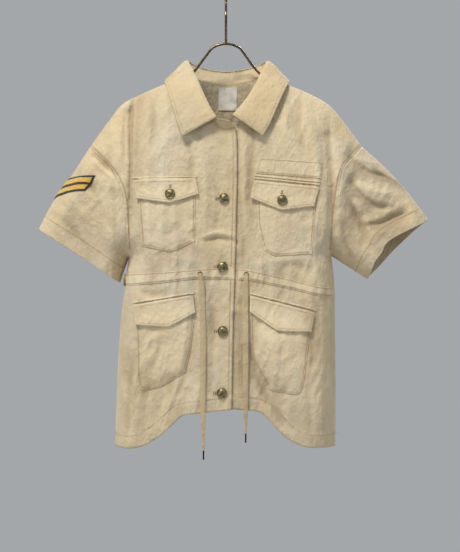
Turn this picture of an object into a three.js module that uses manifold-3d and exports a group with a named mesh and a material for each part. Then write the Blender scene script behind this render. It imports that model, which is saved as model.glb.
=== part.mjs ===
// Safari jacket hanging on a wire hanger, in millimetres.
// +X is to the right of someone facing the jacket, the front faces -Y and +Z is up.
// The origin is the inner top of the hanger's hook, where the hook bears on a rail.
import * as THREE from "three";
import Module from "manifold-3d";

const wasm = await Module();
wasm.setup();

// Cloth sizes
const WALL = 1.5;
const HALF_SEAM = 0.15;
const ARMHOLE_GAP = 0.55;
const WIRE_CREST = 6;
const SLEEVE_DEPTH = 36;

const mix = (a, b, t) => a + (b - a) * t;
const unit = (t) => Math.min(Math.max(t, 0), 1);
const smooth = (t) => unit(t) * unit(t) * (3 - 2 * unit(t));
const arch = (t) => Math.sqrt(1 - (1 - unit(t)) ** 2);

// Straight-line lookup in a table of [key, value] rows whose keys fall
function lookUp(table, key) {
  if (key >= table[0][0]) return table[0][1];
  for (let i = 1; i < table.length; i++) {
    const [k0, v0] = table[i - 1];
    const [k1, v1] = table[i];
    if (key >= k1) return mix(v0, v1, (k0 - key) / (k0 - k1));
  }
  return table[table.length - 1][1];
}

// A smooth curve in the plan, which is the X-Z plane seen from the front
function planCurve(points) {
  const nodes = points.map(([x, z]) => new THREE.Vector3(x, 0, z));
  return new THREE.CatmullRomCurve3(nodes, false, "centripetal");
}
const at = (curve, t) => {
  const p = curve.getPointAt(unit(t));
  return [p.x, p.z];
};

// Seams and edges in the plan: columns x, z
const SEAMS = {
  left: {
    shoulder: [[-78, -166], [-122, -186], [-163, -204], [-207, -227], [-232, -257], [-273, -314]],
    sleeveFold: [[-273, -314], [-307, -367], [-348, -426], [-374, -476]],
    armhole: [[-273, -314], [-248, -338], [-222, -366], [-203, -402], [-195, -468], [-194, -534]],
    underSleeve: [[-194, -534], [-203, -558], [-211, -583]],
    cuffFront: [[-374, -476], [-286, -531], [-219, -577], [-211, -583]],
    cuffBack: [[-374, -476], [-284, -537], [-219, -580], [-211, -583]],
    side: [[-194, -534], [-197, -556], [-200, -585], [-208, -640], [-213, -700], [-218, -800], [-221, -905]],
  },
  right: {
    shoulder: [[80, -168], [124, -188], [168, -207], [206, -229], [234, -261], [272, -312]],
    sleeveFold: [[272, -312], [315, -351], [358, -397], [404, -458]],
    armhole: [[272, -312], [251, -334], [231, -358], [218, -418], [212, -478], [210, -530]],
    underSleeve: [[210, -530], [246, -553], [282, -576]],
    cuffFront: [[404, -458], [316, -505], [306, -524], [293, -541], [282, -576]],
    cuffBack: [[404, -458], [340, -519], [309, -553], [282, -576]],
    side: [[210, -530], [214, -560], [217, -594], [218, -697], [219, -800], [218, -905]],
  },
};
const NECKLINE = {
  left: [[20, -283], [0, -287], [-20, -273], [-44, -241], [-65, -202], [-78, -166]],
  right: [[-18, -286], [4, -286], [26, -271], [48, -241], [68, -202], [80, -168]],
  back: [[-78, -166], [-58, -175], [-30, -180], [0, -182], [30, -180], [58, -175], [80, -168]],
};
const FRONT_EDGE = {
  left: [[20, -283], [22, -331], [19, -500], [17, -564], [14, -660], [11, -826]],
  right: [[-18, -286], [-18, -400], [-20, -560], [-22, -700], [-24, -827]],
};
const HEM = {
  left: [[11, -826], [-47, -833], [-82, -838], [-101, -854], [-133, -881], [-160, -896], [-207, -903], [-221, -905]],
  right: [[-24, -827], [19, -826], [63, -831], [80, -843], [99, -865], [121, -884], [150, -896], [186, -899], [218, -905]],
  back: [
    [-221, -905], [-190, -900], [-150, -890], [-110, -864], [-70, -842], [0, -836],
    [70, -842], [110, -864], [150, -890], [190, -900], [218, -905],
  ],
};

// Depth of each face behind or before the middle plane, by height: columns z, y
const BODY_DEPTH = {
  front: [[-166, 46], [-300, 55], [-450, 62], [-560, 65], [-700, 74], [-910, 84]],
  back: [[-166, 46], [-300, 52], [-450, 56], [-560, 58], [-700, 68], [-910, 78]],
};

// Broad folds: columns x0, z0, x1, z1, half width, rise (a trough is negative)
const FOLDS = {
  front: [
    [-196, -250, -188, -545, 17, -9],
    [-222, -262, -212, -400, 14, 4],
    [-262, -330, -225, -366, 16, -6],
    [-55, -330, -50, -800, 26, 4],
    [-178, -600, -190, -890, 20, 6],
    [-120, -700, -150, -880, 26, -5],
    [198, -300, 206, -520, 13, -8],
    [180, -330, 178, -600, 18, 3],
    [160, -620, 172, -890, 22, 6],
    [48, -720, 110, -880, 22, -6],
    [90, -700, 150, -870, 20, 4],
    [252, -330, 352, -395, 15, -7],
    [256, -384, 350, -424, 16, -7],
    [270, -450, 350, -440, 15, -8],
    [262, -400, 300, -480, 14, 5],
    [-330, -430, -245, -520, 20, -4],
  ],
  back: [
    [-186, -260, -180, -545, 18, -7],
    [190, -270, 196, -520, 16, -7],
    [-60, -300, -80, -860, 34, 5],
    [64, -420, 90, -870, 32, 4],
    [0, -380, 4, -820, 30, -4],
    [-150, -620, -170, -880, 26, 5],
    [152, -600, 168, -880, 24, 5],
    [260, -350, 350, -420, 18, -5],
    [-270, -350, -330, -450, 20, -5],
  ],
};

function segmentDistance(x, z, x0, z0, x1, z1) {
  const dx = x1 - x0;
  const dz = z1 - z0;
  const t = unit(((x - x0) * dx + (z - z0) * dz) / (dx * dx + dz * dz));
  return Math.hypot(x - x0 - dx * t, z - z0 - dz * t);
}
function lineDistance(line, x, z) {
  let least = Infinity;
  for (let i = 1; i < line.length; i++)
    least = Math.min(least, segmentDistance(x, z, ...line[i - 1], ...line[i]));
  return least;
}
const spaced = (curve, n) => Array.from({ length: n + 1 }, (_, i) => at(curve, i / n));

const CURVES = {};
const CRESTS = [];
const LOWERS = [];
for (const side of ["left", "right"]) {
  const made = {};
  for (const [name, points] of Object.entries(SEAMS[side])) made[name] = planCurve(points);
  CURVES[side] = made;
  CRESTS.push(spaced(made.shoulder, 24), spaced(made.sleeveFold, 12));
  LOWERS.push(spaced(made.underSleeve, 8), spaced(made.side, 16));
}

// Half depth of the garment at a plan point; "face" is front or back
function halfDepth(x, z, face) {
  const crest = Math.min(...CRESTS.map((line) => lineDistance(line, x, z)));
  const lower = Math.min(...LOWERS.map((line) => lineDistance(line, x, z)));
  const outward = smooth((Math.abs(x) - 185) / 85);
  const full = mix(lookUp(BODY_DEPTH[face], z), SLEEVE_DEPTH, outward);
  const reach = mix(125, 42, outward);
  const swell = (full - WIRE_CREST) * Math.sin((Math.PI / 2) * unit(crest / reach));
  const shape = (WIRE_CREST * arch(crest / WIRE_CREST) + swell) * arch(lower / mix(60, 42, outward));
  const fade = smooth(crest / 26) * smooth(lower / 20);
  let rise = 0;
  for (const [x0, z0, x1, z1, half, height] of FOLDS[face]) {
    const d = segmentDistance(x, z, x0, z0, x1, z1) / half;
    if (d < 3) rise += height * Math.exp(-d * d);
  }
  return shape + rise * fade;
}

// Grids: a grid is rows of points with rows of outward normals
const sign = { front: -1, back: 1 };
function gridNormals(points, closed) {
  const rows = points.length;
  const columns = points[0].length;
  const normals = points.map((row) => row.map(() => new THREE.Vector3()));
  const lastRow = closed ? rows : rows - 1;
  for (let i = 0; i < lastRow; i++)
    for (let j = 0; j < columns - 1; j++) {
      const k = (i + 1) % rows;
      const u = points[k][j + 1].clone().sub(points[i][j]);
      const v = points[i][j + 1].clone().sub(points[k][j]);
      const n = u.cross(v).normalize();
      for (const [a, b] of [[i, j], [k, j], [i, j + 1], [k, j + 1]]) normals[a][b].add(n);
    }
  for (const row of normals) for (const n of row) n.normalize();
  return normals;
}
// Turn all the normals of a grid when they point to the inside
function facing(points, closed, outwardAt) {
  const normals = gridNormals(points, closed);
  let sum = 0;
  points.forEach((row, i) => row.forEach((p, j) => (sum += outwardAt(p).dot(normals[i][j]))));
  if (sum < 0) normals.forEach((row) => row.forEach((n) => n.negate()));
  return normals;
}

const moved = (grid, distance, keep = (p) => p) =>
  grid.points.map((row, i) =>
    row.map((p, j) => {
      const amount = typeof distance === "function" ? distance(p) : distance;
      return keep(p.clone().addScaledVector(grid.normals[i][j], amount));
    }),
  );

// A closed solid between two point grids of the same size
function shell(outer, inner, closed) {
  const rows = outer.length;
  const columns = outer[0].length;
  const positions = [];
  for (const layer of [outer, inner]) for (const row of layer) for (const p of row) positions.push(p.x, p.y, p.z);
  const id = (layer, i, j) => layer * rows * columns + (i % rows) * columns + j;
  const faces = [];
  const quad = (a, b, c, d) => faces.push(a, b, c, a, c, d);
  const lastRow = closed ? rows : rows - 1;
  for (let i = 0; i < lastRow; i++) {
    for (let j = 0; j < columns - 1; j++) {
      quad(id(0, i, j), id(0, i + 1, j), id(0, i + 1, j + 1), id(0, i, j + 1));
      quad(id(1, i, j), id(1, i, j + 1), id(1, i + 1, j + 1), id(1, i + 1, j));
    }
    quad(id(0, i, 0), id(1, i, 0), id(1, i + 1, 0), id(0, i + 1, 0));
    const j = columns - 1;
    quad(id(0, i + 1, j), id(1, i + 1, j), id(1, i, j), id(0, i, j));
  }
  if (!closed)
    for (let j = 0; j < columns - 1; j++) {
      quad(id(0, 0, j), id(0, 0, j + 1), id(1, 0, j + 1), id(1, 0, j));
      const i = rows - 1;
      quad(id(0, i, j + 1), id(0, i, j), id(1, i, j), id(1, i, j + 1));
    }
  return outwards(positions, faces);
}
function outwards(positions, faces) {
  let volume = 0;
  const point = (i) => new THREE.Vector3(...positions.slice(3 * i, 3 * i + 3));
  for (let i = 0; i < faces.length; i += 3)
    volume += point(faces[i]).dot(point(faces[i + 1]).cross(point(faces[i + 2])));
  if (volume < 0) for (let i = 0; i < faces.length; i += 3) [faces[i + 1], faces[i + 2]] = [faces[i + 2], faces[i + 1]];
  const geometry = new THREE.BufferGeometry();
  geometry.setAttribute("position", new THREE.Float32BufferAttribute(positions, 3));
  geometry.setIndex(faces);
  return geometry;
}

// Solids for cutting and joining
function toManifold(geometry) {
  const bare = new THREE.BufferGeometry().setAttribute("position", geometry.getAttribute("position"));
  if (geometry.index) bare.setIndex(geometry.index);
  const loose = bare.index ? bare.toNonIndexed() : bare;
  const keys = new Map();
  const vertices = [];
  const faces = [];
  const position = loose.getAttribute("position");
  for (let i = 0; i < position.count; i++) {
    const xyz = [position.getX(i), position.getY(i), position.getZ(i)];
    const key = xyz.map((v) => Math.round(v * 1e4)).join(",");
    if (!keys.has(key)) {
      keys.set(key, vertices.length / 3);
      vertices.push(...xyz);
    }
    faces.push(keys.get(key));
  }
  const kept = [];
  for (let i = 0; i < faces.length; i += 3) {
    const [a, b, c] = faces.slice(i, i + 3);
    if (a !== b && b !== c && c !== a) kept.push(a, b, c);
  }
  return new wasm.Manifold(
    new wasm.Mesh({ numProp: 3, vertProperties: new Float32Array(vertices), triVerts: new Uint32Array(kept) }),
  );
}
function fromManifold(solid) {
  const mesh = solid.getMesh();
  const positions = [];
  for (let i = 0; i < mesh.numVert; i++)
    for (let k = 0; k < 3; k++) positions.push(mesh.vertProperties[i * mesh.numProp + k]);
  const geometry = new THREE.BufferGeometry();
  geometry.setAttribute("position", new THREE.Float32BufferAttribute(positions, 3));
  geometry.setIndex(Array.from(mesh.triVerts));
  return geometry;
}

// A prism through one face of the garment with a plan outline
function prism(outline, face) {
  const shape = new THREE.Shape(outline.map(([x, z]) => new THREE.Vector2(x, z)));
  const geometry = new THREE.ExtrudeGeometry(shape, { depth: 300, bevelEnabled: false });
  geometry.rotateX(Math.PI / 2);
  const shift = { front: 0, back: 300, both: 150 }[face];
  geometry.translate(0, shift, 0);
  return toManifold(geometry);
}

// Body panels
const FRONT_COLUMNS = {
  neck: 6,
  left: [0, 0.08, 0.17, 0.24, 0.3, 0.345, 0.39, 0.48, 0.57, 0.66, 0.745, 0.825, 0.895, 0.955, 1],
  right: [0, 0.12, 0.2, 0.27, 0.33, 0.38, 0.42, 0.5, 0.58, 0.67, 0.75, 0.83, 0.9, 0.955, 1],
};
const BACK_COLUMNS = { neck: 3, across: [0, 0.12, 0.24, 0.36, 0.48, 0.6, 0.71, 0.81, 0.89, 0.955, 1] };
const ROWS = [
  0, 0.0015, 0.005, 0.012, 0.035, 0.07, 0.12, 0.17, 0.22, 0.28, 0.34, 0.4, 0.45,
  0.5, 0.56, 0.62, 0.68, 0.74, 0.8, 0.86, 0.93, 1,
];
const ARM_ROWS = [0, 0.015, 0.045, 0.1, 0.19, 0.3, 0.42, 0.54, 0.66, 0.77, 0.87, 0.95, 1];

// Blend of four edge curves; each edge is a list of plan points. The bend of the first and last
// edges dies out inwards, the quicker the higher the power.
function patch(top, bottom, first, last, across, down, power) {
  const [tl, tr, bl, br] = [top[0], top[top.length - 1], bottom[0], bottom[bottom.length - 1]];
  return across.map((u, i) =>
    down.map((v, j) =>
      [0, 1].map((k) => {
        const firstBend = first[j][k] - mix(tl[k], bl[k], v);
        const lastBend = last[j][k] - mix(tr[k], br[k], v);
        return mix(top[i][k], bottom[i][k], v) + (1 - u) ** power * firstBend + u ** power * lastBend;
      }),
    ),
  );
}
function armAndSide(side) {
  const { armhole, side: seam } = CURVES[side];
  const seamRows = ROWS.length - ARM_ROWS.length;
  const arm = ARM_ROWS.map((t) => at(armhole, t));
  const below = Array.from({ length: seamRows }, (_, i) => at(seam, (i + 1) / seamRows));
  return [...arm, ...below];
}
// Top edge of a front: the neckline, then the shoulder seam
function topEdge(neckline, shoulder) {
  const neckCells = FRONT_COLUMNS.neck;
  const outer = FRONT_COLUMNS.left.length - 1 - neckCells;
  const neck = Array.from({ length: neckCells }, (_, i) => at(neckline, i / neckCells));
  const rest = Array.from({ length: outer + 1 }, (_, i) => at(shoulder, i / outer));
  return [...neck, ...rest];
}
const LAP = 3.4;
const lapEdge = planCurve(FRONT_EDGE.left);
const lapLine = spaced(lapEdge, 12).map(([x, z]) => [z, x]);
// How far the lower front is tucked in behind the upper one
const tuck = (x, z) => LAP * smooth((lookUp(lapLine, z) + 17 - x) / 12);

function bodyPoint(x, z, face, onEdge, inset = 0) {
  const depth = onEdge ? HALF_SEAM : Math.max(halfDepth(x, z, face) - inset, HALF_SEAM);
  return new THREE.Vector3(x, sign[face] * depth, z);
}
function frontGrid(side) {
  const neckline = planCurve(NECKLINE[side]);
  const top = topEdge(neckline, CURVES[side].shoulder);
  const across = FRONT_COLUMNS[side];
  const hem = planCurve(HEM[side]);
  const bottom = across.map((u) => at(hem, u));
  const middle = ROWS.map((v) => at(planCurve(FRONT_EDGE[side]), v));
  const plan = patch(top, bottom, middle, armAndSide(side), across, ROWS, 3);
  const points = plan.map((column, i) =>
    column.map(([x, z], j) => {
      const onShoulder = j === 0 && i >= FRONT_COLUMNS.neck;
      const onSide = i === plan.length - 1 && j >= ARM_ROWS.length - 1;
      return bodyPoint(x, z, "front", onShoulder || onSide, side === "right" ? tuck(x, z) : 0);
    }),
  );
  return { points, normals: facing(points, false, () => new THREE.Vector3(0, -1, 0)) };
}
function backGrid() {
  const half = BACK_COLUMNS.across.length - 1;
  const neckCells = BACK_COLUMNS.neck;
  const outer = half - neckCells;
  const leftTop = Array.from({ length: outer }, (_, i) => at(CURVES.left.shoulder, 1 - i / outer));
  const rightTop = Array.from({ length: outer }, (_, i) => at(CURVES.right.shoulder, (i + 1) / outer));
  const neck = spaced(planCurve(NECKLINE.back), 2 * neckCells);
  const top = [...leftTop, ...neck, ...rightTop];
  const halfAcross = BACK_COLUMNS.across;
  const across = [...halfAcross.map((u) => 0.5 - u / 2).reverse(), ...halfAcross.slice(1).map((u) => 0.5 + u / 2)];
  const bottom = across.map((u) => at(planCurve(HEM.back), u));
  const plan = patch(top, bottom, armAndSide("left"), armAndSide("right"), across, ROWS, 6);
  const last = across.length - 1;
  const points = plan.map((column, i) =>
    column.map(([x, z], j) => {
      const onShoulder = j === 0 && (i <= half - neckCells || i >= half + neckCells);
      const onSide = (i === 0 || i === last) && j >= ARM_ROWS.length - 1;
      return bodyPoint(x, z, "back", onShoulder || onSide);
    }),
  );
  return { points, normals: facing(points, false, () => new THREE.Vector3(0, 1, 0)) };
}
const keepFront = (p) => p.setY(Math.min(p.y, -HALF_SEAM));
const keepBack = (p) => p.setY(Math.max(p.y, HALF_SEAM));

// Sleeves: rings from the armhole to the cuff, each from the fold round the front, under and back
const ALONG = [0, 0.06, 0.2, 0.36, 0.52, 0.68, 0.84, 1];
function sleeveGrid(side) {
  const { armhole, sleeveFold, underSleeve, cuffFront, cuffBack } = CURVES[side];
  const fold = ALONG.map((s) => at(sleeveFold, s));
  const under = ALONG.map((s) => at(underSleeve, s));
  const arm = ARM_ROWS.map((t) => {
    const [x, z] = at(armhole, t);
    const tangent = armhole.getTangentAt(unit(t));
    const way = side === "left" ? 1 : -1;
    return [x + way * tangent.z * ARMHOLE_GAP, z - way * tangent.x * ARMHOLE_GAP];
  });
  const halves = { front: cuffFront, back: cuffBack };
  const ring = {};
  for (const [face, cuff] of Object.entries(halves)) {
    const cuffPoints = ARM_ROWS.map((t) => at(cuff, t));
    const first = fold.map((p, i) => (i === 0 ? arm[0] : p));
    const last = under.map((p, i) => (i === 0 ? arm[arm.length - 1] : p));
    ring[face] = patch(arm, cuffPoints, first, last, ARM_ROWS, ALONG, 1);
  }
  const end = ARM_ROWS.length - 1;
  const rows = [];
  for (let i = 0; i <= end; i++) rows.push(["front", i]);
  for (let i = end - 1; i > 0; i--) rows.push(["back", i]);
  const points = rows.map(([face, i]) =>
    ring[face][i].map(([x, z]) => {
      const depth = i === 0 || i === end ? 0 : halfDepth(x, z, face);
      return new THREE.Vector3(x, sign[face] * depth, z);
    }),
  );
  const axis = (p) => new THREE.Vector3(0, p.y, 0);
  return { points, normals: facing(points, true, axis) };
}

// A piece of cloth that lies on a panel: the panel's own points moved out, cut to a plan outline
function overlay(grid, outline, face, lift, thickness, keep, closed = false) {
  const xs = outline.map(([x]) => x);
  const zs = outline.map(([, z]) => z);
  const margin = 3;
  const inBox = (p) =>
    p.x > Math.min(...xs) - margin && p.x < Math.max(...xs) + margin
    && p.z > Math.min(...zs) - margin && p.z < Math.max(...zs) + margin;
  let [i0, i1, j0, j1] = [Infinity, -Infinity, Infinity, -Infinity];
  grid.points.forEach((row, i) =>
    row.forEach((p, j) => {
      if (!inBox(p)) return;
      i0 = Math.min(i0, i);
      i1 = Math.max(i1, i);
      j0 = Math.min(j0, j);
      j1 = Math.max(j1, j);
    }),
  );
  i0 = Math.max(i0 - 1, 0);
  j0 = Math.max(j0 - 1, 0);
  i1 = closed ? grid.points.length - 1 : Math.min(i1 + 1, grid.points.length - 1);
  if (closed) i0 = 0;
  j1 = Math.min(j1 + 1, grid.points[0].length - 1);
  const crop = (layer) => layer.slice(i0, i1 + 1).map((row) => row.slice(j0, j1 + 1));
  const low = crop(moved(grid, lift, keep));
  const high = crop(moved(grid, (p) => (typeof lift === "function" ? lift(p) : lift) + thickness, keep));
  const solid = toManifold(shell(high, low, closed)).intersect(prism(outline, face));
  return fromManifold(solid);
}

// Materials
const cloth = (color) => new THREE.MeshStandardMaterial({ color, roughness: 0.9 });
const metal = (color) => new THREE.MeshStandardMaterial({ color, roughness: 0.35, metalness: 0.9 });
const CLOTH = 0xd9c8a4;
const TRIM = 0xdccba8;
const jacket = new THREE.Group();
jacket.name = "safari_jacket";
function add(name, geometry, material) {
  const mesh = new THREE.Mesh(geometry, material);
  mesh.name = name;
  jacket.add(mesh);
}

const grids = { left: frontGrid("left"), right: frontGrid("right"), back: backGrid() };
add("front_left", shell(grids.left.points, moved(grids.left, -WALL, keepFront), false), cloth(CLOTH));
add("front_right", shell(grids.right.points, moved(grids.right, -WALL, keepFront), false), cloth(CLOTH));
add("back", shell(grids.back.points, moved(grids.back, -WALL, keepBack), false), cloth(CLOTH));
const sleeves = { left: sleeveGrid("left"), right: sleeveGrid("right") };
for (const side of ["left", "right"]) {
  const inner = moved(sleeves[side], -WALL);
  add("sleeve_" + side, shell(sleeves[side].points, inner, true), cloth(CLOTH));
}

// Pockets puff a little in the middle; columns of POCKETS: centre x, centre z, half width, half height, rise
const POCKETS = {
  chest_left: [-108, -446, 58, 64, 4],
  chest_right: [108, -452, 56, 66, 4],
  lower_left: [-120, -702, 60, 90, 7],
  lower_right: [102, -712, 58, 92, 8],
};
function puff(name) {
  const [cx, cz, halfWidth, halfHeight, rise] = POCKETS[name];
  return (p) => {
    const u = Math.abs(p.x - cx) / halfWidth;
    const v = Math.abs(p.z - cz) / halfHeight;
    return rise * smooth(1.15 - u) * smooth(1.2 - v);
  };
}
const POCKET_LIFT = 0.45;
const POCKET_CLOTH = 1.3;
const FLAP_CLOTH = 1.6;
// Outlines in the plan: columns x, z
const OUTLINES = {
  chest_pocket_left: [[-170, -380], [-58, -380], [-60, -503], [-106, -524], [-162, -512]],
  chest_flap_left: [[-180, -384], [-58, -381.5], [-52, -412], [-107.5, -429.5], [-173, -420]],
  chest_pocket_right: [[60, -392], [174, -404], [166, -527], [96, -532], [74, -520], [62, -470]],
  chest_flap_right: [[54, -385], [181, -398], [170, -436], [107, -443.5], [47.5, -419]],
  lower_pocket_left: [[-172, -632], [-60, -612], [-60, -650], [-68, -710], [-77, -754], [-124, -783], [-161, -790], [-169, -776]],
  lower_flap_left: [[-179, -626], [-63, -606.5], [-58, -640], [-108.5, -667.5], [-173, -664]],
  lower_pocket_right: [[47, -616], [168, -640], [160, -690], [150, -772], [143, -792], [134, -797], [84, -789], [48, -728]],
  lower_flap_right: [[47, -608], [172, -640], [164, -677], [99, -675.5], [45.5, -638.5]],
};
for (const side of ["left", "right"])
  for (const place of ["chest", "lower"]) {
    const bulge = puff(place + "_" + side);
    const pocketLift = (p) => POCKET_LIFT + bulge(p);
    const flapLift = (p) => POCKET_LIFT + POCKET_CLOTH + 0.5 + bulge(p);
    const pocket = place + "_pocket_" + side;
    const flap = place + "_flap_" + side;
    add(pocket, overlay(grids[side], OUTLINES[pocket], "front", pocketLift, POCKET_CLOTH, keepFront), cloth(TRIM));
    add(flap, overlay(grids[side], OUTLINES[flap], "front", flapLift, FLAP_CLOTH, keepFront), cloth(TRIM));
  }

// Waist channel: top edge and bottom edge in the plan
const CHANNEL_LIFT = 0.4;
const CHANNEL_CLOTH = 1.2;
const CHANNELS = {
  waist_channel_left: [
    [-230, -566], [-128, -563], [-56, -557], [16.5, -552.5],
    [16.5, -577], [-42, -579], [-54, -573], [-120, -583], [-230, -592],
  ],
  waist_channel_right: [
    [24, -556], [49, -559], [120, -575], [178, -590], [240, -596],
    [240, -616], [178, -608], [120, -594], [49, -578], [24, -577],
  ],
  waist_channel_back: [
    [-230, -566], [-110, -570], [0, -573], [110, -580], [240, -596],
    [240, -616], [110, -602], [0, -595], [-110, -592], [-230, -592],
  ],
};
add("waist_channel_left",
  overlay(grids.left, CHANNELS.waist_channel_left, "front", CHANNEL_LIFT, CHANNEL_CLOTH, keepFront), cloth(TRIM));
add("waist_channel_right",
  overlay(grids.right, CHANNELS.waist_channel_right, "front", CHANNEL_LIFT, CHANNEL_CLOTH, keepFront), cloth(TRIM));
add("waist_channel_back",
  overlay(grids.back, CHANNELS.waist_channel_back, "back", CHANNEL_LIFT, CHANNEL_CLOTH, keepBack), cloth(TRIM));

// Name tape above the right chest pocket, and the label inside the back neck
const TAPE = [[65.5, -341], [189, -349.5], [185, -381.5], [58.5, -371]];
add("name_tape", overlay(grids.right, TAPE, "front", 0.4, 0.9, keepFront), cloth(TRIM));
const LABEL = [[-15, -187], [22, -187], [22, -232], [-15, -232]];
const LABEL_CLOTH = 0.7;
add("neck_label", overlay(grids.back, LABEL, "back", -WALL - 0.4 - LABEL_CLOTH, LABEL_CLOTH, keepBack), cloth(0xebe4d2));

// Chevron patch, which wraps over the sleeve's fold from the front to the back
const CHEVRON = [[-261, -371], [-278, -399.5], [-304.5, -404], [-343, -424], [-352, -416], [-324, -376], [-309, -385], [-285, -374]];
add("chevron_patch", overlay(sleeves.left, CHEVRON, "both", 0.4, 1.3, (p) => p, true), cloth(0x2b2118));

// Collar: the neck seam, the fold and the outer edge run from the left front end round to the right
// Columns x, y, z
const FOLD_LINE = [
  [-18, -64, -266], [-29, -59, -249], [-41, -47, -224], [-55, -28, -190], [-68, -8, -160], [-77, 10, -141],
  [-68, 30, -143], [-42, 47, -149], [0, 54, -153], [42, 47, -149], [70, 30, -144],
  [82, 10, -142], [72, -8, -164], [60, -28, -192], [46, -45, -218], [31, -54, -240], [13, -61, -261],
];
const OUTER_EDGE = [
  [-84, -65, -301], [-93, -61, -276], [-103, -52, -245], [-112, -37, -215], [-119, -17, -192], [-122, 6, -181],
  [-106, 36, -189], [-62, 59, -199], [0, 66, -203], [62, 59, -199], [108, 36, -190],
  [126, 6, -182], [121, -18, -194], [111, -38, -216], [98, -53, -246], [85, -61, -276], [71, -65, -300],
];
const space = (rows) => new THREE.CatmullRomCurve3(rows.map((r) => new THREE.Vector3(...r)), false, "catmullrom");
const foldCurve = space(FOLD_LINE);
const outerCurve = space(OUTER_EDGE);
// Steps round the collar: left front, back, right front, two to each column of the panels' necklines
const LEFT_STEPS = 10;
const BACK_STEPS = 12;
const RIGHT_STEPS = 8;
const COLLAR_STEPS = LEFT_STEPS + BACK_STEPS + RIGHT_STEPS;
const STATION = { sideLeft: 5, sideRight: 11, last: 16 };
function station(step) {
  if (step <= LEFT_STEPS) return (step / LEFT_STEPS) * STATION.sideLeft;
  const beyond = step - LEFT_STEPS - BACK_STEPS;
  if (beyond <= 0) return STATION.sideRight + (beyond / BACK_STEPS) * (STATION.sideRight - STATION.sideLeft);
  return STATION.sideRight + (beyond / RIGHT_STEPS) * (STATION.last - STATION.sideRight);
}
const along = (curve, step) => curve.getPoint(station(step) / STATION.last);
// The stand runs a little past the fall at the left front, as a tab over the right one
const TAB_TOP = [[8, -66.5, -272], [-5, -66, -268]];
const leftNeck = grids.left.points.slice(0, FRONT_COLUMNS.neck + 1).map((column) => column[0]);
const rightNeck = grids.right.points.slice(2, FRONT_COLUMNS.neck + 1).map((column) => column[0]);
const middleColumn = BACK_COLUMNS.across.length - 1;
const backNeck = grids.back.points
  .slice(middleColumn - BACK_COLUMNS.neck, middleColumn + BACK_COLUMNS.neck + 1)
  .map((column) => column[0]);
function halved(points) {
  const made = [];
  points.forEach((p, i) => {
    if (i) made.push(points[i - 1].clone().lerp(p, 0.5));
    made.push(p.clone());
  });
  return made;
}
const leftSide = halved(leftNeck);
const backSide = halved(backNeck);
const rightSide = halved(rightNeck.reverse());
const seam = [...leftSide.slice(0, -1), ...backSide, ...rightSide.slice(1)];
seam[leftSide.length - 1].y = 0;
seam[leftSide.length - 1 + BACK_STEPS].y = 0;
// Stand: from just above the neck seam to just under the fold, its cloth towards the neck
const STAND_ROWS = [0, 0.5, 1];
const STAND_LIFT = 1.1;
const FOLD_GAP = 0.9;
const standPoints = seam.map((base, i) => {
  const step = i - TAB_TOP.length;
  const fold = step < 0 ? new THREE.Vector3(...TAB_TOP[i]) : along(foldCurve, step);
  const up = fold.clone().sub(base);
  const from = STAND_LIFT / up.length();
  const to = 1 - FOLD_GAP / up.length();
  return STAND_ROWS.map((t) => base.clone().addScaledVector(up, mix(from, to, t)));
});
const neckAxis = (p) => new THREE.Vector3(p.x, p.y, 0);
const stand = { points: standPoints, normals: facing(standPoints, false, neckAxis) };
add("collar_stand", shell(stand.points, moved(stand, -WALL), false), cloth(CLOTH));
// Fall: from the fold to the outer edge, rising in the middle, its cloth on the outside
const FALL_ROWS = [0, 0.06, 0.2, 0.4, 0.6, 0.8, 1];
const FALL_CLOTH = 2;
const FALL_RISE = 5;
const fallPoints = Array.from({ length: COLLAR_STEPS + 1 }, (_, i) => {
  const fold = along(foldCurve, i);
  const outer = along(outerCurve, i);
  return FALL_ROWS.map((t) => fold.clone().lerp(outer, t));
});
const flatFall = { points: fallPoints, normals: facing(fallPoints, false, (p) => new THREE.Vector3(p.x, p.y, 60)) };
const fallBase = flatFall.points.map((row, i) =>
  row.map((p, j) => {
    const t = FALL_ROWS[j];
    return p.clone().addScaledVector(flatFall.normals[i][j], 0.7 + FALL_RISE * arch(t * 2.2) * (1 - t));
  }),
);
const fall = { points: fallBase, normals: facing(fallBase, false, (p) => new THREE.Vector3(p.x, p.y, 60)) };
add("collar", shell(moved(fall, FALL_CLOTH), fall.points, false), cloth(CLOTH));

// Domed buttons: columns radius, height
const BUTTON_PROFILE = [[0, 0], [7, 0], [10, 1.8], [9.2, 3.3], [7.2, 3.5], [4, 4.6], [0, 5.1]];
const lathe = (profile, segments) =>
  new THREE.LatheGeometry(profile.map(([r, h]) => new THREE.Vector2(r, h)), segments);
// Place a piece turned about its own +Y on a face of the garment
function seat(geometry, x, z, lift, face = "front") {
  const h = 6;
  const slopeX = (halfDepth(x + h, z, face) - halfDepth(x - h, z, face)) / (2 * h);
  const slopeZ = (halfDepth(x, z + h, face) - halfDepth(x, z - h, face)) / (2 * h);
  const normal = new THREE.Vector3(-slopeX, -1, -slopeZ).normalize();
  const turn = new THREE.Quaternion().setFromUnitVectors(new THREE.Vector3(0, 1, 0), normal);
  const base = new THREE.Vector3(x, -halfDepth(x, z, face), z).addScaledVector(normal, lift);
  geometry.applyMatrix4(new THREE.Matrix4().compose(base, turn, new THREE.Vector3(1, 1, 1)));
  return fromManifold(toManifold(geometry));
}
// Columns: name, x, z, lift above the panel
const BUTTONS = [
  ["placket_button_1", -3.6, -420, 0.6],
  ["placket_button_2", -6.5, -552, 2.3],
  ["placket_button_3", -6, -676, 0.6],
  ["placket_button_4", -7.7, -794, 0.6],
  ["flap_button_left", -107, -412, 7.5],
  ["flap_button_right", 108, -424, 7.4],
];
for (const [name, x, z, lift] of BUTTONS) add(name, seat(lathe(BUTTON_PROFILE, 12), x, z, lift), metal(0x8a7a58));

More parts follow.
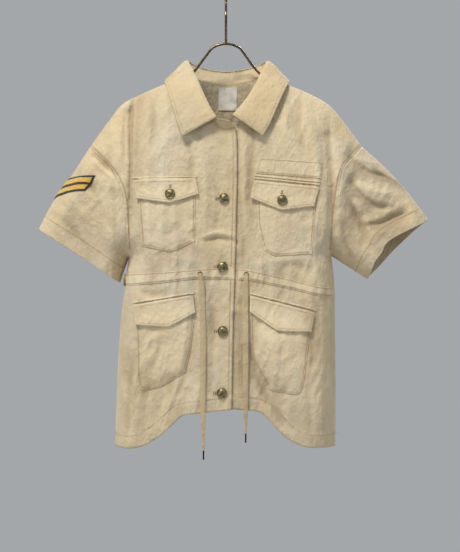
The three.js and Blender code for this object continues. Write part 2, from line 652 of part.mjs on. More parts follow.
// Eyelets on the channel
const EYELET_PROFILE = [[2.4, 0], [4.6, 0], [4.6, 0.7], [3.6, 1.2], [2.4, 0.9], [2.4, 0]];
const EYELETS = { left: [-49.5, -565.5], right: [39.5, -566.5] };
for (const side of ["left", "right"])
  add("eyelet_" + side, seat(lathe(EYELET_PROFILE, 12), ...EYELETS[side], 2.1), metal(0x8a7a58));

// Drawcords: flat tapes that hang from the eyelets; columns z, x, width, distance before the panel
const TAPE_CLOTH = 1;
const DRAWCORDS = {
  left: [
    [-564, -49.5, 6, 4.9], [-572, -48.6, 8, 5.4], [-590, -46.5, 10.5, 4.4], [-640, -44.5, 11, 3.4], [-700, -43.5, 11, 3.4],
    [-760, -43.5, 10.5, 4], [-815, -43.5, 10, 5], [-850, -43.3, 9, 4.5], [-890, -42.8, 5, 4], [-903, -42.5, 2.8, 4],
  ],
  right: [
    [-565, 39.5, 6, 4.6], [-573, 39, 8, 5.4], [-590, 38.2, 10.5, 5.2], [-640, 38, 11, 4], [-700, 38, 11, 4],
    [-760, 38, 10.5, 4.4], [-815, 38, 9.5, 5], [-858, 38, 5, 4.5], [-871, 38, 2.8, 4.5],
  ],
};
const AGLET = { radius: 1.5, length: 17 };
for (const side of ["left", "right"]) {
  const rows = DRAWCORDS[side];
  const edgeDepth = halfDepth(rows[0][1], -815, "front");
  const depthAt = (x, z) => (z < -815 ? edgeDepth + (-815 - z) * 0.02 : halfDepth(x, z, "front"));
  const face = rows.map(([z, x, width, before]) => {
    const y = -depthAt(x, z) - before;
    return [-1, 1].map((k) => new THREE.Vector3(x + (k * width) / 2, y, z));
  });
  const behind = face.map((row) => row.map((p) => p.clone().add(new THREE.Vector3(0, TAPE_CLOTH, 0))));
  add("drawcord_" + side, shell(face, behind, false), cloth(TRIM));
  const [z, x, , before] = rows[rows.length - 1];
  const aglet = new THREE.CylinderGeometry(AGLET.radius, AGLET.radius * 0.8, AGLET.length, 10);
  aglet.rotateX(Math.PI / 2);
  aglet.translate(x, -depthAt(x, z) - before + TAPE_CLOTH / 2, z - 0.4 - AGLET.length / 2);
  add("aglet_" + side, fromManifold(toManifold(aglet)), metal(0x1a1816));
}

// Hanger: bent wire, the hook in the Y-Z plane and the arms under the shoulders
const WIRE = 2.5;
const HOOK_CENTRE = -15;
const HOOK_RADIUS = 17.5;
function wireAlong(points, steps, type = "centripetal") {
  const path = new THREE.CatmullRomCurve3(points.map((p) => new THREE.Vector3(...p)), false, type);
  const ring = new THREE.Shape(
    Array.from({ length: 8 }, (_, i) => {
      const angle = ((i + 0.5) * Math.PI) / 4;
      return new THREE.Vector2(WIRE * Math.cos(angle), WIRE * Math.sin(angle));
    }),
  );
  return toManifold(new THREE.ExtrudeGeometry(ring, { steps, bevelEnabled: false, extrudePath: path }));
}
const hookPoints = [];
for (let degrees = -30; degrees <= 240; degrees += 18) {
  const angle = (degrees * Math.PI) / 180;
  hookPoints.push([0, -HOOK_RADIUS * Math.cos(angle), HOOK_CENTRE + HOOK_RADIUS * Math.sin(angle)]);
}
const stemPoints = [...hookPoints.slice(0, 14), [0, 4, -40], [0, 0, -52], [0, 0, -75], [0, 0, -106]];
const armPoints = [
  [-200, 0, -231.5], [-163, 0, -210], [-122, 0, -192], [-82, 0, -175.5], [-67, 0, -165], [-51, 0, -145], [-39, 0, -129],
  [-25, 0, -113], [0, 0, -106], [25, 0, -113], [40, 0, -131], [51, 0, -147], [68, 0, -166], [84, 0, -177.5],
  [124, 0, -194], [168, 0, -213], [199, 0, -234],
];
const hanger = wireAlong(stemPoints, 24).add(wireAlong(armPoints, 32));
add("hanger", fromManifold(hanger), metal(0x4a3d2e));

export default jacket;
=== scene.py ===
# %% [markdown]
# Safari jacket on a wire hanger. The frame gives the place of every piece. This script builds the
# cloth again as fine thin shells on the same surfaces, with its creases, seams and stitches, and
# adds the metal parts. Lengths are written in millimetres and turned into metres when a mesh is made.

import math

import bmesh
import bpy
import numpy as np
from mathutils import Matrix, Vector


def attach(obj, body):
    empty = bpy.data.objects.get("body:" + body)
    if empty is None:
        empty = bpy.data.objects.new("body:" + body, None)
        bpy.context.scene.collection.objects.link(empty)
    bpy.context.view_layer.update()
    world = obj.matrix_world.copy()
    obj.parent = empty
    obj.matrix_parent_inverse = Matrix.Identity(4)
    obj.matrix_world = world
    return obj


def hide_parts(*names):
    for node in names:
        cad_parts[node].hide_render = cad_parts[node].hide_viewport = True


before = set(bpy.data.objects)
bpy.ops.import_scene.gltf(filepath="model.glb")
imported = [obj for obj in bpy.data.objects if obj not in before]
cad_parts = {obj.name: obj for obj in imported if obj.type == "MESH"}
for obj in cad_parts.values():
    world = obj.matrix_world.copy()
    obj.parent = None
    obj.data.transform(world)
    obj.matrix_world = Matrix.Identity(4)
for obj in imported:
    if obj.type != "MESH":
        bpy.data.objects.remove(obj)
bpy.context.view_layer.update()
MM = 0.001

# %% [markdown]
# The camera stands level with the middle of the jacket, 1.9 m before its middle plane.

# %% Camera
camera_data = bpy.data.cameras.new("camera")
camera = bpy.data.objects.new("camera", camera_data)
bpy.context.scene.collection.objects.link(camera)
camera.location = (0.008, -1.9, -0.57)
camera.rotation_euler = (math.radians(90), 0, 0)
camera_data.lens = 62.0
camera_data.sensor_width = 36
bpy.context.scene.camera = camera
print("camera placed at", tuple(camera.location))

# %% [markdown]
# Small tools for numbers and for smooth lines. A line is a list of points, in the plan (X and Z)
# or in space, and "at" gives points by their share of its length.

# %% Number and line tools
def mix(a, b, t):
    return a + (b - a) * t


def unit(t):
    return np.clip(t, 0, 1)


def smooth(t):
    return unit(t) ** 2 * (3 - 2 * unit(t))


def arch(t):
    return np.sqrt(1 - (1 - unit(t)) ** 2)


def bell(t):
    return np.exp(-t * t)


def look_up(table, key):
    """The value of a table at a height; the table's heights fall from row to row."""
    keys = [-row[0] for row in table]
    return np.interp(-np.asarray(key, float), keys, [row[1] for row in table])


def smooth_line(points, fine=24):
    """A smooth line through all its points, with "fine" steps from each to the next."""
    p = np.array(points, float)
    p = np.vstack([2 * p[0] - p[1], p, 2 * p[-1] - p[-2]])
    steps = np.linspace(0, 1, fine, endpoint=False)[:, None]
    parts = []
    for i in range(1, len(p) - 2):
        a, b, c, d = p[i - 1 : i + 3]
        d0, d1, d2 = (max(np.linalg.norm(v), 1e-6) ** 0.5 for v in (b - a, c - b, d - c))
        t1 = ((b - a) / d0 - (c - a) / (d0 + d1) + (c - b) / d1) * d1
        t2 = ((c - b) / d1 - (d - b) / (d1 + d2) + (d - c) / d2) * d1
        square = 3 * (c - b) - 2 * t1 - t2
        cube = 2 * (b - c) + t1 + t2
        parts.append(b + t1 * steps + square * steps**2 + cube * steps**3)
    return np.vstack(parts + [p[-2:-1]])


def at(line, shares):
    """Points of a line at shares of its length, 0 to 1."""
    arc = np.concatenate([[0], np.cumsum(np.linalg.norm(np.diff(line, axis=0), axis=1))])
    where = unit(np.asarray(shares, float)) * arc[-1]
    return np.stack([np.interp(where, arc, line[:, k]) for k in range(line.shape[1])], axis=-1)


def length_of(line):
    return float(np.linalg.norm(np.diff(line, axis=0), axis=1).sum())


def distance(line, x, z):
    """The distance in the plan from each x, z to a line."""
    best = np.full(np.shape(x), 1e9)
    for (x0, z0), (x1, z1) in zip(line[:-1], line[1:]):
        dx, dz = x1 - x0, z1 - z0
        t = unit(((x - x0) * dx + (z - z0) * dz) / max(dx * dx + dz * dz, 1e-9))
        best = np.minimum(best, np.hypot(x - x0 - dx * t, z - z0 - dz * t))
    return best


print("number and line tools ready")

# %% [markdown]
# A jacket like this is cut as flat pieces of cotton, and its seams are where they are sewn together.
# The seams and free edges are drawn here in the plan, columns x, z, as they are in the solids. The
# panels and sleeves are worked out from these lines, so that neighbours meet without trimming.

# %% Seams
SEAMS = {
    "left": {
        "shoulder": [(-78, -166), (-122, -186), (-163, -204), (-207, -227), (-232, -257), (-273, -314)],
        "fold": [(-273, -314), (-307, -367), (-348, -426), (-374, -476)],
        "armhole": [(-273, -314), (-248, -338), (-222, -366), (-203, -402), (-195, -468), (-194, -534)],
        "under": [(-194, -534), (-203, -558), (-211, -583)],
        "cuff_front": [(-374, -476), (-286, -531), (-219, -577), (-211, -583)],
        "cuff_back": [(-374, -476), (-284, -537), (-219, -580), (-211, -583)],
        "side": [
            (-194, -534), (-197, -556), (-200, -585), (-208, -640), (-213, -700), (-218, -800), (-221, -905),
        ],
    },
    "right": {
        "shoulder": [(80, -168), (124, -188), (168, -207), (206, -229), (234, -261), (272, -312)],
        "fold": [(272, -312), (315, -351), (358, -397), (404, -458)],
        "armhole": [(272, -312), (251, -334), (231, -358), (218, -418), (212, -478), (210, -530)],
        "under": [(210, -530), (246, -553), (282, -576)],
        "cuff_front": [(404, -458), (316, -505), (306, -524), (293, -541), (282, -576)],
        "cuff_back": [(404, -458), (340, -519), (309, -553), (282, -576)],
        "side": [(210, -530), (214, -560), (217, -594), (218, -697), (219, -800), (218, -905)],
    },
}
NECKLINE = {
    "left": [(20, -283), (0, -287), (-20, -273), (-44, -241), (-65, -202), (-78, -166)],
    "right": [(-18, -286), (4, -286), (26, -271), (48, -241), (68, -202), (80, -168)],
    "back": [(-78, -166), (-58, -175), (-30, -180), (0, -182), (30, -180), (58, -175), (80, -168)],
}
FRONT_EDGE = {
    "left": [(20, -283), (22, -331), (19, -500), (17, -564), (14, -660), (11, -826)],
    "right": [(-18, -286), (-18, -400), (-20, -560), (-22, -700), (-24, -827)],
}
HEM = {
    "left": [
        (11, -826), (-47, -833), (-82, -838), (-101, -854), (-133, -881), (-160, -896), (-207, -903),
        (-221, -905),
    ],
    "right": [
        (-24, -827), (19, -826), (63, -831), (80, -843), (99, -865), (121, -884), (150, -896), (186, -899),
        (218, -905),
    ],
    "back": [
        (-221, -905), (-190, -900), (-150, -890), (-110, -864), (-70, -842), (0, -836),
        (70, -842), (110, -864), (150, -890), (190, -900), (218, -905),
    ],
}
BODY_DEPTH = {
    "front": [(-166, 46), (-300, 55), (-450, 62), (-560, 65), (-700, 74), (-910, 84)],
    "back": [(-166, 46), (-300, 52), (-450, 56), (-560, 58), (-700, 68), (-910, 78)],
}
LINES = {side: {name: smooth_line(p) for name, p in table.items()} for side, table in SEAMS.items()}
NECK = {name: smooth_line(p) for name, p in NECKLINE.items()}
EDGE = {name: smooth_line(p) for name, p in FRONT_EDGE.items()}
HEMLINE = {name: smooth_line(p) for name, p in HEM.items()}
WIRE_CREST = 6
SLEEVE_DEPTH = 36
WALL = 1.5
LAP = 3.4
SIDES = ("left", "right")
SIGN = {"front": -1, "back": 1}
FAR_FROM_SEAM = 40.0
EDGE_HALF = 0.15


def thin(line, step=12):
    count = max(3, int(length_of(line) / step))
    return at(line, np.linspace(0, 1, count))


CRESTS = [thin(LINES[s][name]) for s in SIDES for name in ("shoulder", "fold")]
LOWERS = [thin(LINES[s][name]) for s in SIDES for name in ("under", "side")]
print("seam lines made:", sum(len(table) for table in LINES.values()))

# %% [markdown]
# Crisp cotton keeps its folds: broad soft ones where it hangs, and creases where it was pressed.
# They could come from a cloth simulation. Here they are given one by one, because a simulation would
# put them elsewhere than in the photograph. Those on the back are guessed in the same manner. A
# trough has a negative rise. Broad folds are the solids' own. A crease runs through its points; it
# may be steeper on one side, so each has two widths.

# %% Folds and creases
# Broad folds, columns: x, z of one end, x, z of the other end, half width, rise
BROAD = {
    "front": [
        (-196, -250, -188, -545, 17, -9), (-222, -262, -212, -400, 14, 4), (-262, -330, -225, -366, 16, -6),
        (-55, -330, -50, -800, 26, 4), (-178, -600, -190, -890, 20, 6), (-120, -700, -150, -880, 26, -5),
        (198, -300, 206, -520, 13, -8), (180, -330, 178, -600, 18, 3), (160, -620, 172, -890, 22, 6),
        (48, -720, 110, -880, 22, -6), (90, -700, 150, -870, 20, 4), (252, -330, 352, -395, 15, -7),
        (256, -384, 350, -424, 16, -7), (270, -450, 350, -440, 15, -8), (262, -400, 300, -480, 14, 5),
        (-330, -430, -245, -520, 20, -4),
    ],
    "back": [
        (-186, -260, -180, -545, 18, -7), (190, -270, 196, -520, 16, -7), (-60, -300, -80, -860, 34, 5),
        (64, -420, 90, -870, 32, 4), (0, -380, 4, -820, 30, -4), (-150, -620, -170, -880, 26, 5),
        (152, -600, 168, -880, 24, 5), (260, -350, 350, -420, 18, -5), (-270, -350, -330, -450, 20, -5),
    ],
}
# Columns: rise, width on the left of its way, width on its right, then its points x, z
CREASES = {
    "front": [
        (-6.0, 13, 4, (-187, -200), (-189, -262), (-186, -350), (-189, -470)),
        (3.0, 4, 10, (-180, -215), (-181, -300), (-179, -420)),
        (2.6, 5, 10, (-205, -240), (-206, -300), (-200, -380)),
        (-4.5, 5, 4, (-262, -330), (-240, -350), (-214, -374)),
        (3.4, 4, 4, (-266, -338), (-246, -357), (-222, -378)),
        (-1.8, 8, 5, (-150, -215), (-142, -260), (-146, -330)),
        (1.6, 6, 9, (-120, -215), (-112, -270), (-116, -330)),
        (-1.6, 6, 9, (-75, -300), (-66, -350), (-70, -420)),
        (1.8, 9, 6, (-42, -330), (-38, -420), (-44, -520)),
        (-1.5, 5, 7, (-22, -380), (-14, -430), (-20, -500)),
        (2.4, 3, 5, (-44, -494), (-14, -486), (18, -493)),
        (-2.6, 3, 6, (-46, -503), (-14, -496), (19, -503)),
        (-1.8, 6, 8, (-168, -594), (-140, -606), (-100, -602)),
        (1.8, 6, 6, (-180, -604), (-150, -618), (-104, -612)),
        (1.6, 5, 8, (-48, -590), (-40, -640), (-42, -720)),
        (-1.7, 6, 8, (-30, -600), (-24, -660), (-27, -740)),
        (-2.2, 7, 10, (-64, -700), (-84, -780), (-118, -850)),
        (2.0, 8, 8, (-84, -760), (-110, -820), (-140, -872)),
        (-2.0, 8, 10, (-176, -700), (-184, -780), (-190, -880)),
        (1.6, 8, 8, (-40, -740), (-52, -790), (-66, -830)),
        (2.4, 5, 9, (190, -260), (196, -340), (194, -470), (196, -590)),
        (-2.6, 5, 5, (206, -250), (204, -320), (207, -400), (208, -520)),
        (-1.6, 6, 9, (150, -222), (146, -270), (152, -330)),
        (1.5, 8, 6, (112, -210), (118, -260), (112, -320)),
        (-1.6, 6, 8, (60, -250), (52, -330), (44, -420)),
        (1.4, 6, 8, (40, -300), (36, -400), (40, -500)),
        (-1.6, 6, 5, (30, -440), (34, -520), (30, -552)),
        (1.6, 5, 7, (186, -420), (170, -500), (176, -560)),
        (-1.7, 6, 8, (100, -560), (130, -548), (168, -556)),
        (1.6, 6, 6, (60, -548), (100, -540), (150, -536)),
        (-2.6, 7, 11, (44, -700), (66, -780), (112, -860)),
        (2.4, 9, 8, (60, -800), (92, -850), (130, -882)),
        (-2.0, 6, 9, (160, -640), (166, -720), (158, -800), (166, -890)),
        (2.2, 7, 9, (186, -620), (188, -720), (182, -820), (188, -892)),
        (-1.6, 6, 8, (30, -600), (26, -680), (30, -780)),
        (1.6, 6, 8, (206, -640), (204, -740), (206, -880)),
        # Left sleeve
        (-2.0, 9, 6, (-300, -356), (-262, -400), (-230, -470)),
        (1.8, 7, 9, (-318, -400), (-282, -450), (-250, -520)),
        (-2.2, 7, 9, (-346, -440), (-300, -480), (-262, -528)),
        (-1.6, 6, 6, (-226, -380), (-216, -440), (-214, -520)),
        (1.6, 6, 7, (-250, -380), (-236, -450), (-226, -540)),
        # Right sleeve
        (-6.5, 7, 11, (246, -338), (278, -364), (316, -374), (352, -392)),
        (5.0, 8, 8, (262, -338), (300, -350), (338, -380)),
        (-6.0, 7, 12, (244, -384), (268, -414), (292, -430), (326, -434)),
        (4.6, 8, 9, (262, -390), (294, -404), (330, -410)),
        (-4.2, 6, 9, (240, -420), (256, -452), (272, -484)),
        (3.6, 7, 7, (252, -424), (272, -456), (290, -500)),
        (-8.0, 6, 12, (272, -470), (302, -466), (334, -452), (356, -446)),
        (3.0, 8, 8, (284, -440), (318, -444), (360, -424)),
        (-2.4, 6, 7, (228, -470), (236, -510), (256, -546)),
    ],
    "back": [
        (-3.0, 9, 6, (-184, -230), (-180, -330), (-182, -470)),
        (2.2, 7, 9, (-160, -230), (-152, -330), (-158, -450)),
        (-2.6, 7, 9, (190, -230), (188, -340), (192, -480)),
        (1.8, 8, 8, (150, -230), (146, -330), (152, -430)),
        (-1.8, 8, 8, (-90, -230), (-84, -330), (-92, -450), (-86, -560)),
        (1.8, 9, 8, (-40, -260), (-34, -380), (-40, -520)),
        (-1.8, 8, 9, (30, -250), (38, -370), (32, -500)),
        (1.7, 8, 8, (90, -240), (84, -340), (92, -470)),
        (-2.2, 9, 8, (-120, -640), (-132, -740), (-126, -860)),
        (2.0, 9, 9, (-60, -640), (-66, -740), (-60, -830)),
        (-2.0, 9, 8, (10, -640), (4, -740), (10, -830)),
        (2.2, 9, 9, (70, -640), (78, -740), (84, -840)),
        (-2.2, 8, 9, (130, -640), (138, -760), (146, -870)),
        (-2.4, 8, 8, (-300, -370), (-280, -430), (-250, -520)),
        (2.0, 8, 8, (-330, -420), (-300, -480), (-268, -540)),
        (-3.0, 8, 9, (262, -350), (300, -400), (350, -430)),
        (2.2, 8, 8, (250, -420), (290, -460), (330, -500)),
    ],
}
CREASE_DEPTH = 1.6
CREASE_LINES = {
    face: [(row[:3], smooth_line(row[3:], 5)) for row in rows] for face, rows in CREASES.items()
}


def crease_height(line, rise, left, right, x, z):
    best = np.full(np.shape(x), 1e9)
    side = np.zeros(np.shape(x))
    share = np.zeros(np.shape(x))
    count = len(line) - 1
    for i in range(count):
        (x0, z0), (x1, z1) = line[i], line[i + 1]
        dx, dz = x1 - x0, z1 - z0
        t = unit(((x - x0) * dx + (z - z0) * dz) / max(dx * dx + dz * dz, 1e-9))
        d = np.hypot(x - x0 - dx * t, z - z0 - dz * t)
        nearer = d < best
        best = np.where(nearer, d, best)
        side = np.where(nearer, (x - x0) * dz - (z - z0) * dx, side)
        share = np.where(nearer, (i + t) / count, share)
    width = np.where(side > 0, right, left)
    return rise * np.exp(-((best / width) ** 1.35)) * np.sin(np.pi * unit(0.08 + 0.84 * share)) ** 0.7


print("creases placed:", sum(len(rows) for rows in CREASES.values()))

# %% [markdown]
# Between the creases the cloth is covered with small wrinkles, and it puckers where a cord or a seam
# draws it in. Nobody could place these one by one, so they come from smooth noise on a lattice of
# seeded numbers, and are the same in every run. The result is a height over the panel's surface.

# %% Noise
LATTICE = np.random.default_rng(41).uniform(-1, 1, (6, 64, 64))


def noise(u, v, layer=0):
    grid = LATTICE[layer]
    i, j = np.floor(u).astype(int), np.floor(v).astype(int)
    a, b = u - i, v - j
    a, b = a * a * (3 - 2 * a), b * b * (3 - 2 * b)
    i, j, k, m = i % 64, j % 64, (i + 1) % 64, (j + 1) % 64
    return mix(mix(grid[i, j], grid[k, j], a), mix(grid[i, m], grid[k, m], a), b)


def ridged(u, v, layer=0):
    return (1 - 2.4 * np.abs(noise(u, v, layer))) * 0.6


def fine_wrinkles(x, z, face):
    shift = 0 if face == "front" else 31.7
    warp = 9 * noise(x / 70 + shift, z / 90, 1)
    long_ones = ridged((x + warp) / 27 + shift, z / 95, 2)
    short_ones = ridged((x - z * 0.35 + warp) / 17 + shift, (z + x * 0.3) / 34, 3)
    small = noise((x + warp) / 9 + shift, z / 12, 4)
    patchy = smooth(0.5 + 0.9 * noise(x / 85 + shift, z / 85, 5))
    return 1.9 * long_ones + 2.1 * short_ones * patchy + 0.5 * small


# The line of the drawcord round the waist, where the cloth is gathered
WAIST = {
    "front": np.array([
        (-230, -580), (-120, -573), (-50, -568), (20, -565), (49, -568), (120, -584), (178, -599),
        (240, -606),
    ]),
    "back": np.array([(-230, -579), (-110, -581), (0, -584), (110, -591), (240, -606)]),
}


def puckers(x, z, face):
    waist = distance(WAIST[face], x, z)
    gather = noise(x / 7.5, z / 300, 1) + 0.6 * noise(x / 4.1, z / 200, 2)
    total = 2.1 * gather * bell(waist / 26) * (0.7 + 0.4 * noise(x / 60, z / 60, 3))
    total += 0.8 * noise(x / 9, z / 34, 3) * bell(waist / 55)
    for side in SIDES:
        arm = distance(thin(LINES[side]["armhole"], 20), x, z)
        along = (x + z) / 7 if side == "left" else (x - z) / 7
        total += 0.8 * noise(along, 0 * x + 0.5, 4) * bell(arm / 10)
        seam = distance(thin(LINES[side]["side"], 40), x, z)
        total += 0.5 * noise(z / 8, 0 * x + 2.5, 5) * bell(seam / 10) * (z < -540)
    return total


def cloth_detail(x, z, face):
    """Creases, wrinkles and puckers alone, before they fade out at the folds of the garment."""
    rise = fine_wrinkles(x, z, face) + puckers(x, z, face)
    for (height, left, right), line in CREASE_LINES[face]:
        rise = rise + CREASE_DEPTH * crease_height(line, height, left, right, x, z)
    return rise


def half_depth(x, z, face, detail=1.0):
    """The distance of the garment's surface from its middle plane, with a share of the detail."""
    x, z = np.asarray(x, float), np.asarray(z, float)
    crest = np.min([distance(line, x, z) for line in CRESTS], axis=0)
    lower = np.min([distance(line, x, z) for line in LOWERS], axis=0)
    outward = smooth((np.abs(x) - 185) / 85)
    full = mix(look_up(BODY_DEPTH[face], z), SLEEVE_DEPTH, outward)
    reach = mix(125, 42, outward)
    swell = (full - WIRE_CREST) * np.sin(np.pi / 2 * unit(crest / reach))
    shape = (WIRE_CREST * arch(crest / WIRE_CREST) + swell) * arch(lower / mix(60, 42, outward))
    fade = smooth(crest / 26) * smooth(lower / 20)
    rise = np.zeros_like(x)
    for x0, z0, x1, z1, half, height in BROAD[face]:
        rise += height * bell(distance([(x0, z0), (x1, z1)], x, z) / half)
    if detail:
        rise += detail * cloth_detail(x, z, face)
    return shape + rise * fade


print("wrinkles and puckers ready")

# %% [markdown]
# Cloth is thin but has an edge that catches the light. So each piece is a grid of points, an array
# of rows, columns and x, y, z, with a second grid one cloth's thickness inside it, joined all round.
# The points also carry their distance to a seam and their height in a fold, for the materials.

# %% Mesh tools
def normals_of(grid, closed=False):
    if closed:
        rows = np.concatenate([grid[-1:], grid, grid[:1]])
    else:
        rows = np.concatenate([2 * grid[:1] - grid[1:2], grid, 2 * grid[-1:] - grid[-2:-1]])
    first = 2 * grid[:, :1] - grid[:, 1:2]
    last = 2 * grid[:, -1:] - grid[:, -2:-1]
    columns = np.concatenate([first, grid, last], axis=1)
    down = rows[2:] - rows[:-2]
    across = columns[:, 2:] - columns[:, :-2]
    n = np.cross(down, across)
    return n / np.maximum(np.linalg.norm(n, axis=-1, keepdims=True), 1e-9)


def facing(grid, way, closed=False):
    n = normals_of(grid, closed)
    return n if (n * way).sum() > 0 else -n


def make_object(name, vertices, faces, material, attributes=None):
    mesh = bpy.data.meshes.new(name)
    mesh.from_pydata((np.asarray(vertices) * MM).tolist(), [], faces)
    for key, values in (attributes or {}).items():
        layer = mesh.attributes.new(key, "FLOAT", "POINT")
        layer.data.foreach_set("value", np.asarray(values, float))
    obj = bpy.data.objects.new(name, mesh)
    bpy.context.scene.collection.objects.link(obj)
    mesh.materials.append(material)
    shape = bmesh.new()
    shape.from_mesh(mesh)
    bmesh.ops.recalc_face_normals(shape, faces=shape.faces)
    shape.to_mesh(mesh)
    shape.free()
    for polygon in mesh.polygons:
        polygon.use_smooth = True
    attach(obj, "root")
    return obj


def shell(name, outer, inner, material, closed=False, attributes=None):
    """A closed thin piece between two grids; with "closed", its last row meets its first."""
    rows, columns = outer.shape[:2]
    vertices = np.concatenate([outer.reshape(-1, 3), inner.reshape(-1, 3)])
    i, j = np.meshgrid(np.arange(rows if closed else rows - 1), np.arange(columns - 1), indexing="ij")
    k = (i + 1) % rows
    a, b = (i * columns + j).ravel(), (k * columns + j).ravel()
    half = rows * columns
    quads = [np.stack([a, b, b + 1, a + 1], 1), np.stack([a + 1, b + 1, b, a], 1) + half]
    r = np.arange(rows if closed else rows - 1)
    s = (r + 1) % rows
    for c, flip in ((0, 1), (columns - 1, -1)):
        edge = np.stack([r * columns + c, r * columns + c + half, s * columns + c + half, s * columns + c], 1)
        quads.append(edge[:, ::flip])
    if not closed:
        c = np.arange(columns - 1)
        for row, flip in ((0, 1), (rows - 1, -1)):
            base = row * columns + c
            edge = np.stack([base, base + 1, base + 1 + half, base + half], 1)
            quads.append(edge[:, ::flip])
    faces = np.concatenate(quads).tolist()
    both = {}
    for key, values in (attributes or {}).items():
        both[key] = np.concatenate([values.ravel(), values.ravel()])
    # The inner grid is marked "inside": the cotton paints shade on it, in full on closed tubes and less on
    # open pieces.
    both["inside"] = np.concatenate([np.zeros(half), np.full(half, 1.0 if closed else 0.3)])
    return make_object(name, vertices, faces, material, both)


def blend_patch(top, bottom, first, last, u, v, power=1):
    """A grid of points in the plan between four lines that are its edges."""
    top, bottom, first, last = (np.asarray(e, float) for e in (top, bottom, first, last))
    u3, v3 = u[:, None, None], v[None, :, None]
    base = mix(top[:, None], bottom[:, None], v3)
    first_bend = first - mix(top[0], bottom[0], v[:, None])
    last_bend = last - mix(top[-1], bottom[-1], v[:, None])
    return base + (1 - u3) ** power * first_bend[None] + u3**power * last_bend[None]


print("mesh tools ready")

# %% [markdown]
# A material is a net of nodes. Value stands for one socket of it and can be added, multiplied and
# taken from a number, so that a pattern reads like a sum. Patterns use object coordinates in metres.

# %% Material tools
def math_node(tree, operation, *items):
    """A node that reckons with sockets and plain numbers, in the order given."""
    node = tree.nodes.new("ShaderNodeMath")
    node.operation = operation
    for i, item in enumerate(items):
        if isinstance(item, Value):
            tree.links.new(item.socket, node.inputs[i])
        else:
            node.inputs[i].default_value = item
    return Value(tree, node.outputs[0])


class Value:
    """A node socket that can be used in arithmetic."""

    def __init__(self, tree, socket):
        self.tree, self.socket = tree, socket

    def math(self, operation, *others):
        return math_node(self.tree, operation, self, *others)

    def __add__(self, other):
        return self.math("ADD", other)

    def __sub__(self, other):
        return self.math("SUBTRACT", other)

    def __rsub__(self, other):
        return math_node(self.tree, "SUBTRACT", other, self)

    def __mul__(self, other):
        return self.math("MULTIPLY", other)

    __radd__ = __add__
    __rmul__ = __mul__

    def clamp(self):
        node = self.tree.nodes.new("ShaderNodeClamp")
        self.tree.links.new(self.socket, node.inputs[0])
        return Value(self.tree, node.outputs[0])


class Surface:
    """One node material with its object coordinates, noises and principled shader."""

    def __init__(self, name, roughness=0.8, metallic=0.0):
        self.material = bpy.data.materials.new(name)
        self.material.use_nodes = True
        self.tree = self.material.node_tree
        self.shader = self.tree.nodes["Principled BSDF"]
        self.shader.inputs["Roughness"].default_value = roughness
        self.shader.inputs["Metallic"].default_value = metallic
        self.coordinates = self.tree.nodes.new("ShaderNodeTexCoord").outputs["Object"]

    def stretched(self, scale, turn=(0, 0, 0)):
        node = self.tree.nodes.new("ShaderNodeMapping")
        node.inputs["Scale"].default_value = scale
        node.inputs["Rotation"].default_value = turn
        self.tree.links.new(self.coordinates, node.inputs["Vector"])
        return node.outputs[0]

    def noise(self, scale, detail=3, rough=0.5, vector=None):
        node = self.tree.nodes.new("ShaderNodeTexNoise")
        node.inputs["Scale"].default_value = scale
        node.inputs["Detail"].default_value = detail
        node.inputs["Roughness"].default_value = rough
        self.tree.links.new(vector or self.coordinates, node.inputs["Vector"])
        return Value(self.tree, node.outputs["Fac"])

    def wave(self, scale, vector=None, distortion=0.0, direction="X"):
        node = self.tree.nodes.new("ShaderNodeTexWave")
        node.bands_direction = direction
        node.inputs["Scale"].default_value = scale
        node.inputs["Distortion"].default_value = distortion
        self.tree.links.new(vector or self.coordinates, node.inputs["Vector"])
        return Value(self.tree, node.outputs["Fac"])

    def attribute(self, name):
        node = self.tree.nodes.new("ShaderNodeAttribute")
        node.attribute_name = name
        return Value(self.tree, node.outputs["Fac"])

    def ramp(self, value, stops):
        node = self.tree.nodes.new("ShaderNodeValToRGB")
        while len(node.color_ramp.elements) < len(stops):
            node.color_ramp.elements.new(0.5)
        for element, (place, colour) in zip(node.color_ramp.elements, stops):
            element.position = place
            element.color = (*colour, 1)
        self.tree.links.new(value.socket, node.inputs[0])
        return node.outputs[0]

    def mixed(self, factor, first, second, blend="MIX"):
        node = self.tree.nodes.new("ShaderNodeMix")
        node.data_type = "RGBA"
        node.blend_type = blend
        if isinstance(factor, Value):
            self.tree.links.new(factor.socket, node.inputs[0])
        else:
            node.inputs[0].default_value = factor
        for slot, item in ((6, first), (7, second)):
            if isinstance(item, tuple):
                node.inputs[slot].default_value = (*item, 1)
            else:
                self.tree.links.new(item, node.inputs[slot])
        return node.outputs[2]

    def colour(self, socket):
        self.tree.links.new(socket, self.shader.inputs["Base Color"])

    def bump(self, height, strength=0.5, depth=0.001):
        node = self.tree.nodes.new("ShaderNodeBump")
        node.inputs["Strength"].default_value = strength
        node.inputs["Distance"].default_value = depth
        self.tree.links.new(height.socket, node.inputs["Height"])
        self.tree.links.new(node.outputs[0], self.shader.inputs["Normal"])

    def roughness(self, value):
        self.tree.links.new(value.socket, self.shader.inputs["Roughness"])

    def sheen(self, weight, roughness=0.5, tint=(1, 1, 1)):
        self.shader.inputs["Sheen Weight"].default_value = weight
        self.shader.inputs["Sheen Roughness"].default_value = roughness
        self.shader.inputs["Sheen Tint"].default_value = (*tint, 1)


def linear(r, g, b):
    """A colour given as on a screen, 0 to 255, turned into linear light."""
    return tuple(round(((c / 255 + 0.055) / 1.055) ** 2.4 if c > 10 else c / 3294, 4) for c in (r, g, b))


print("material tools ready")
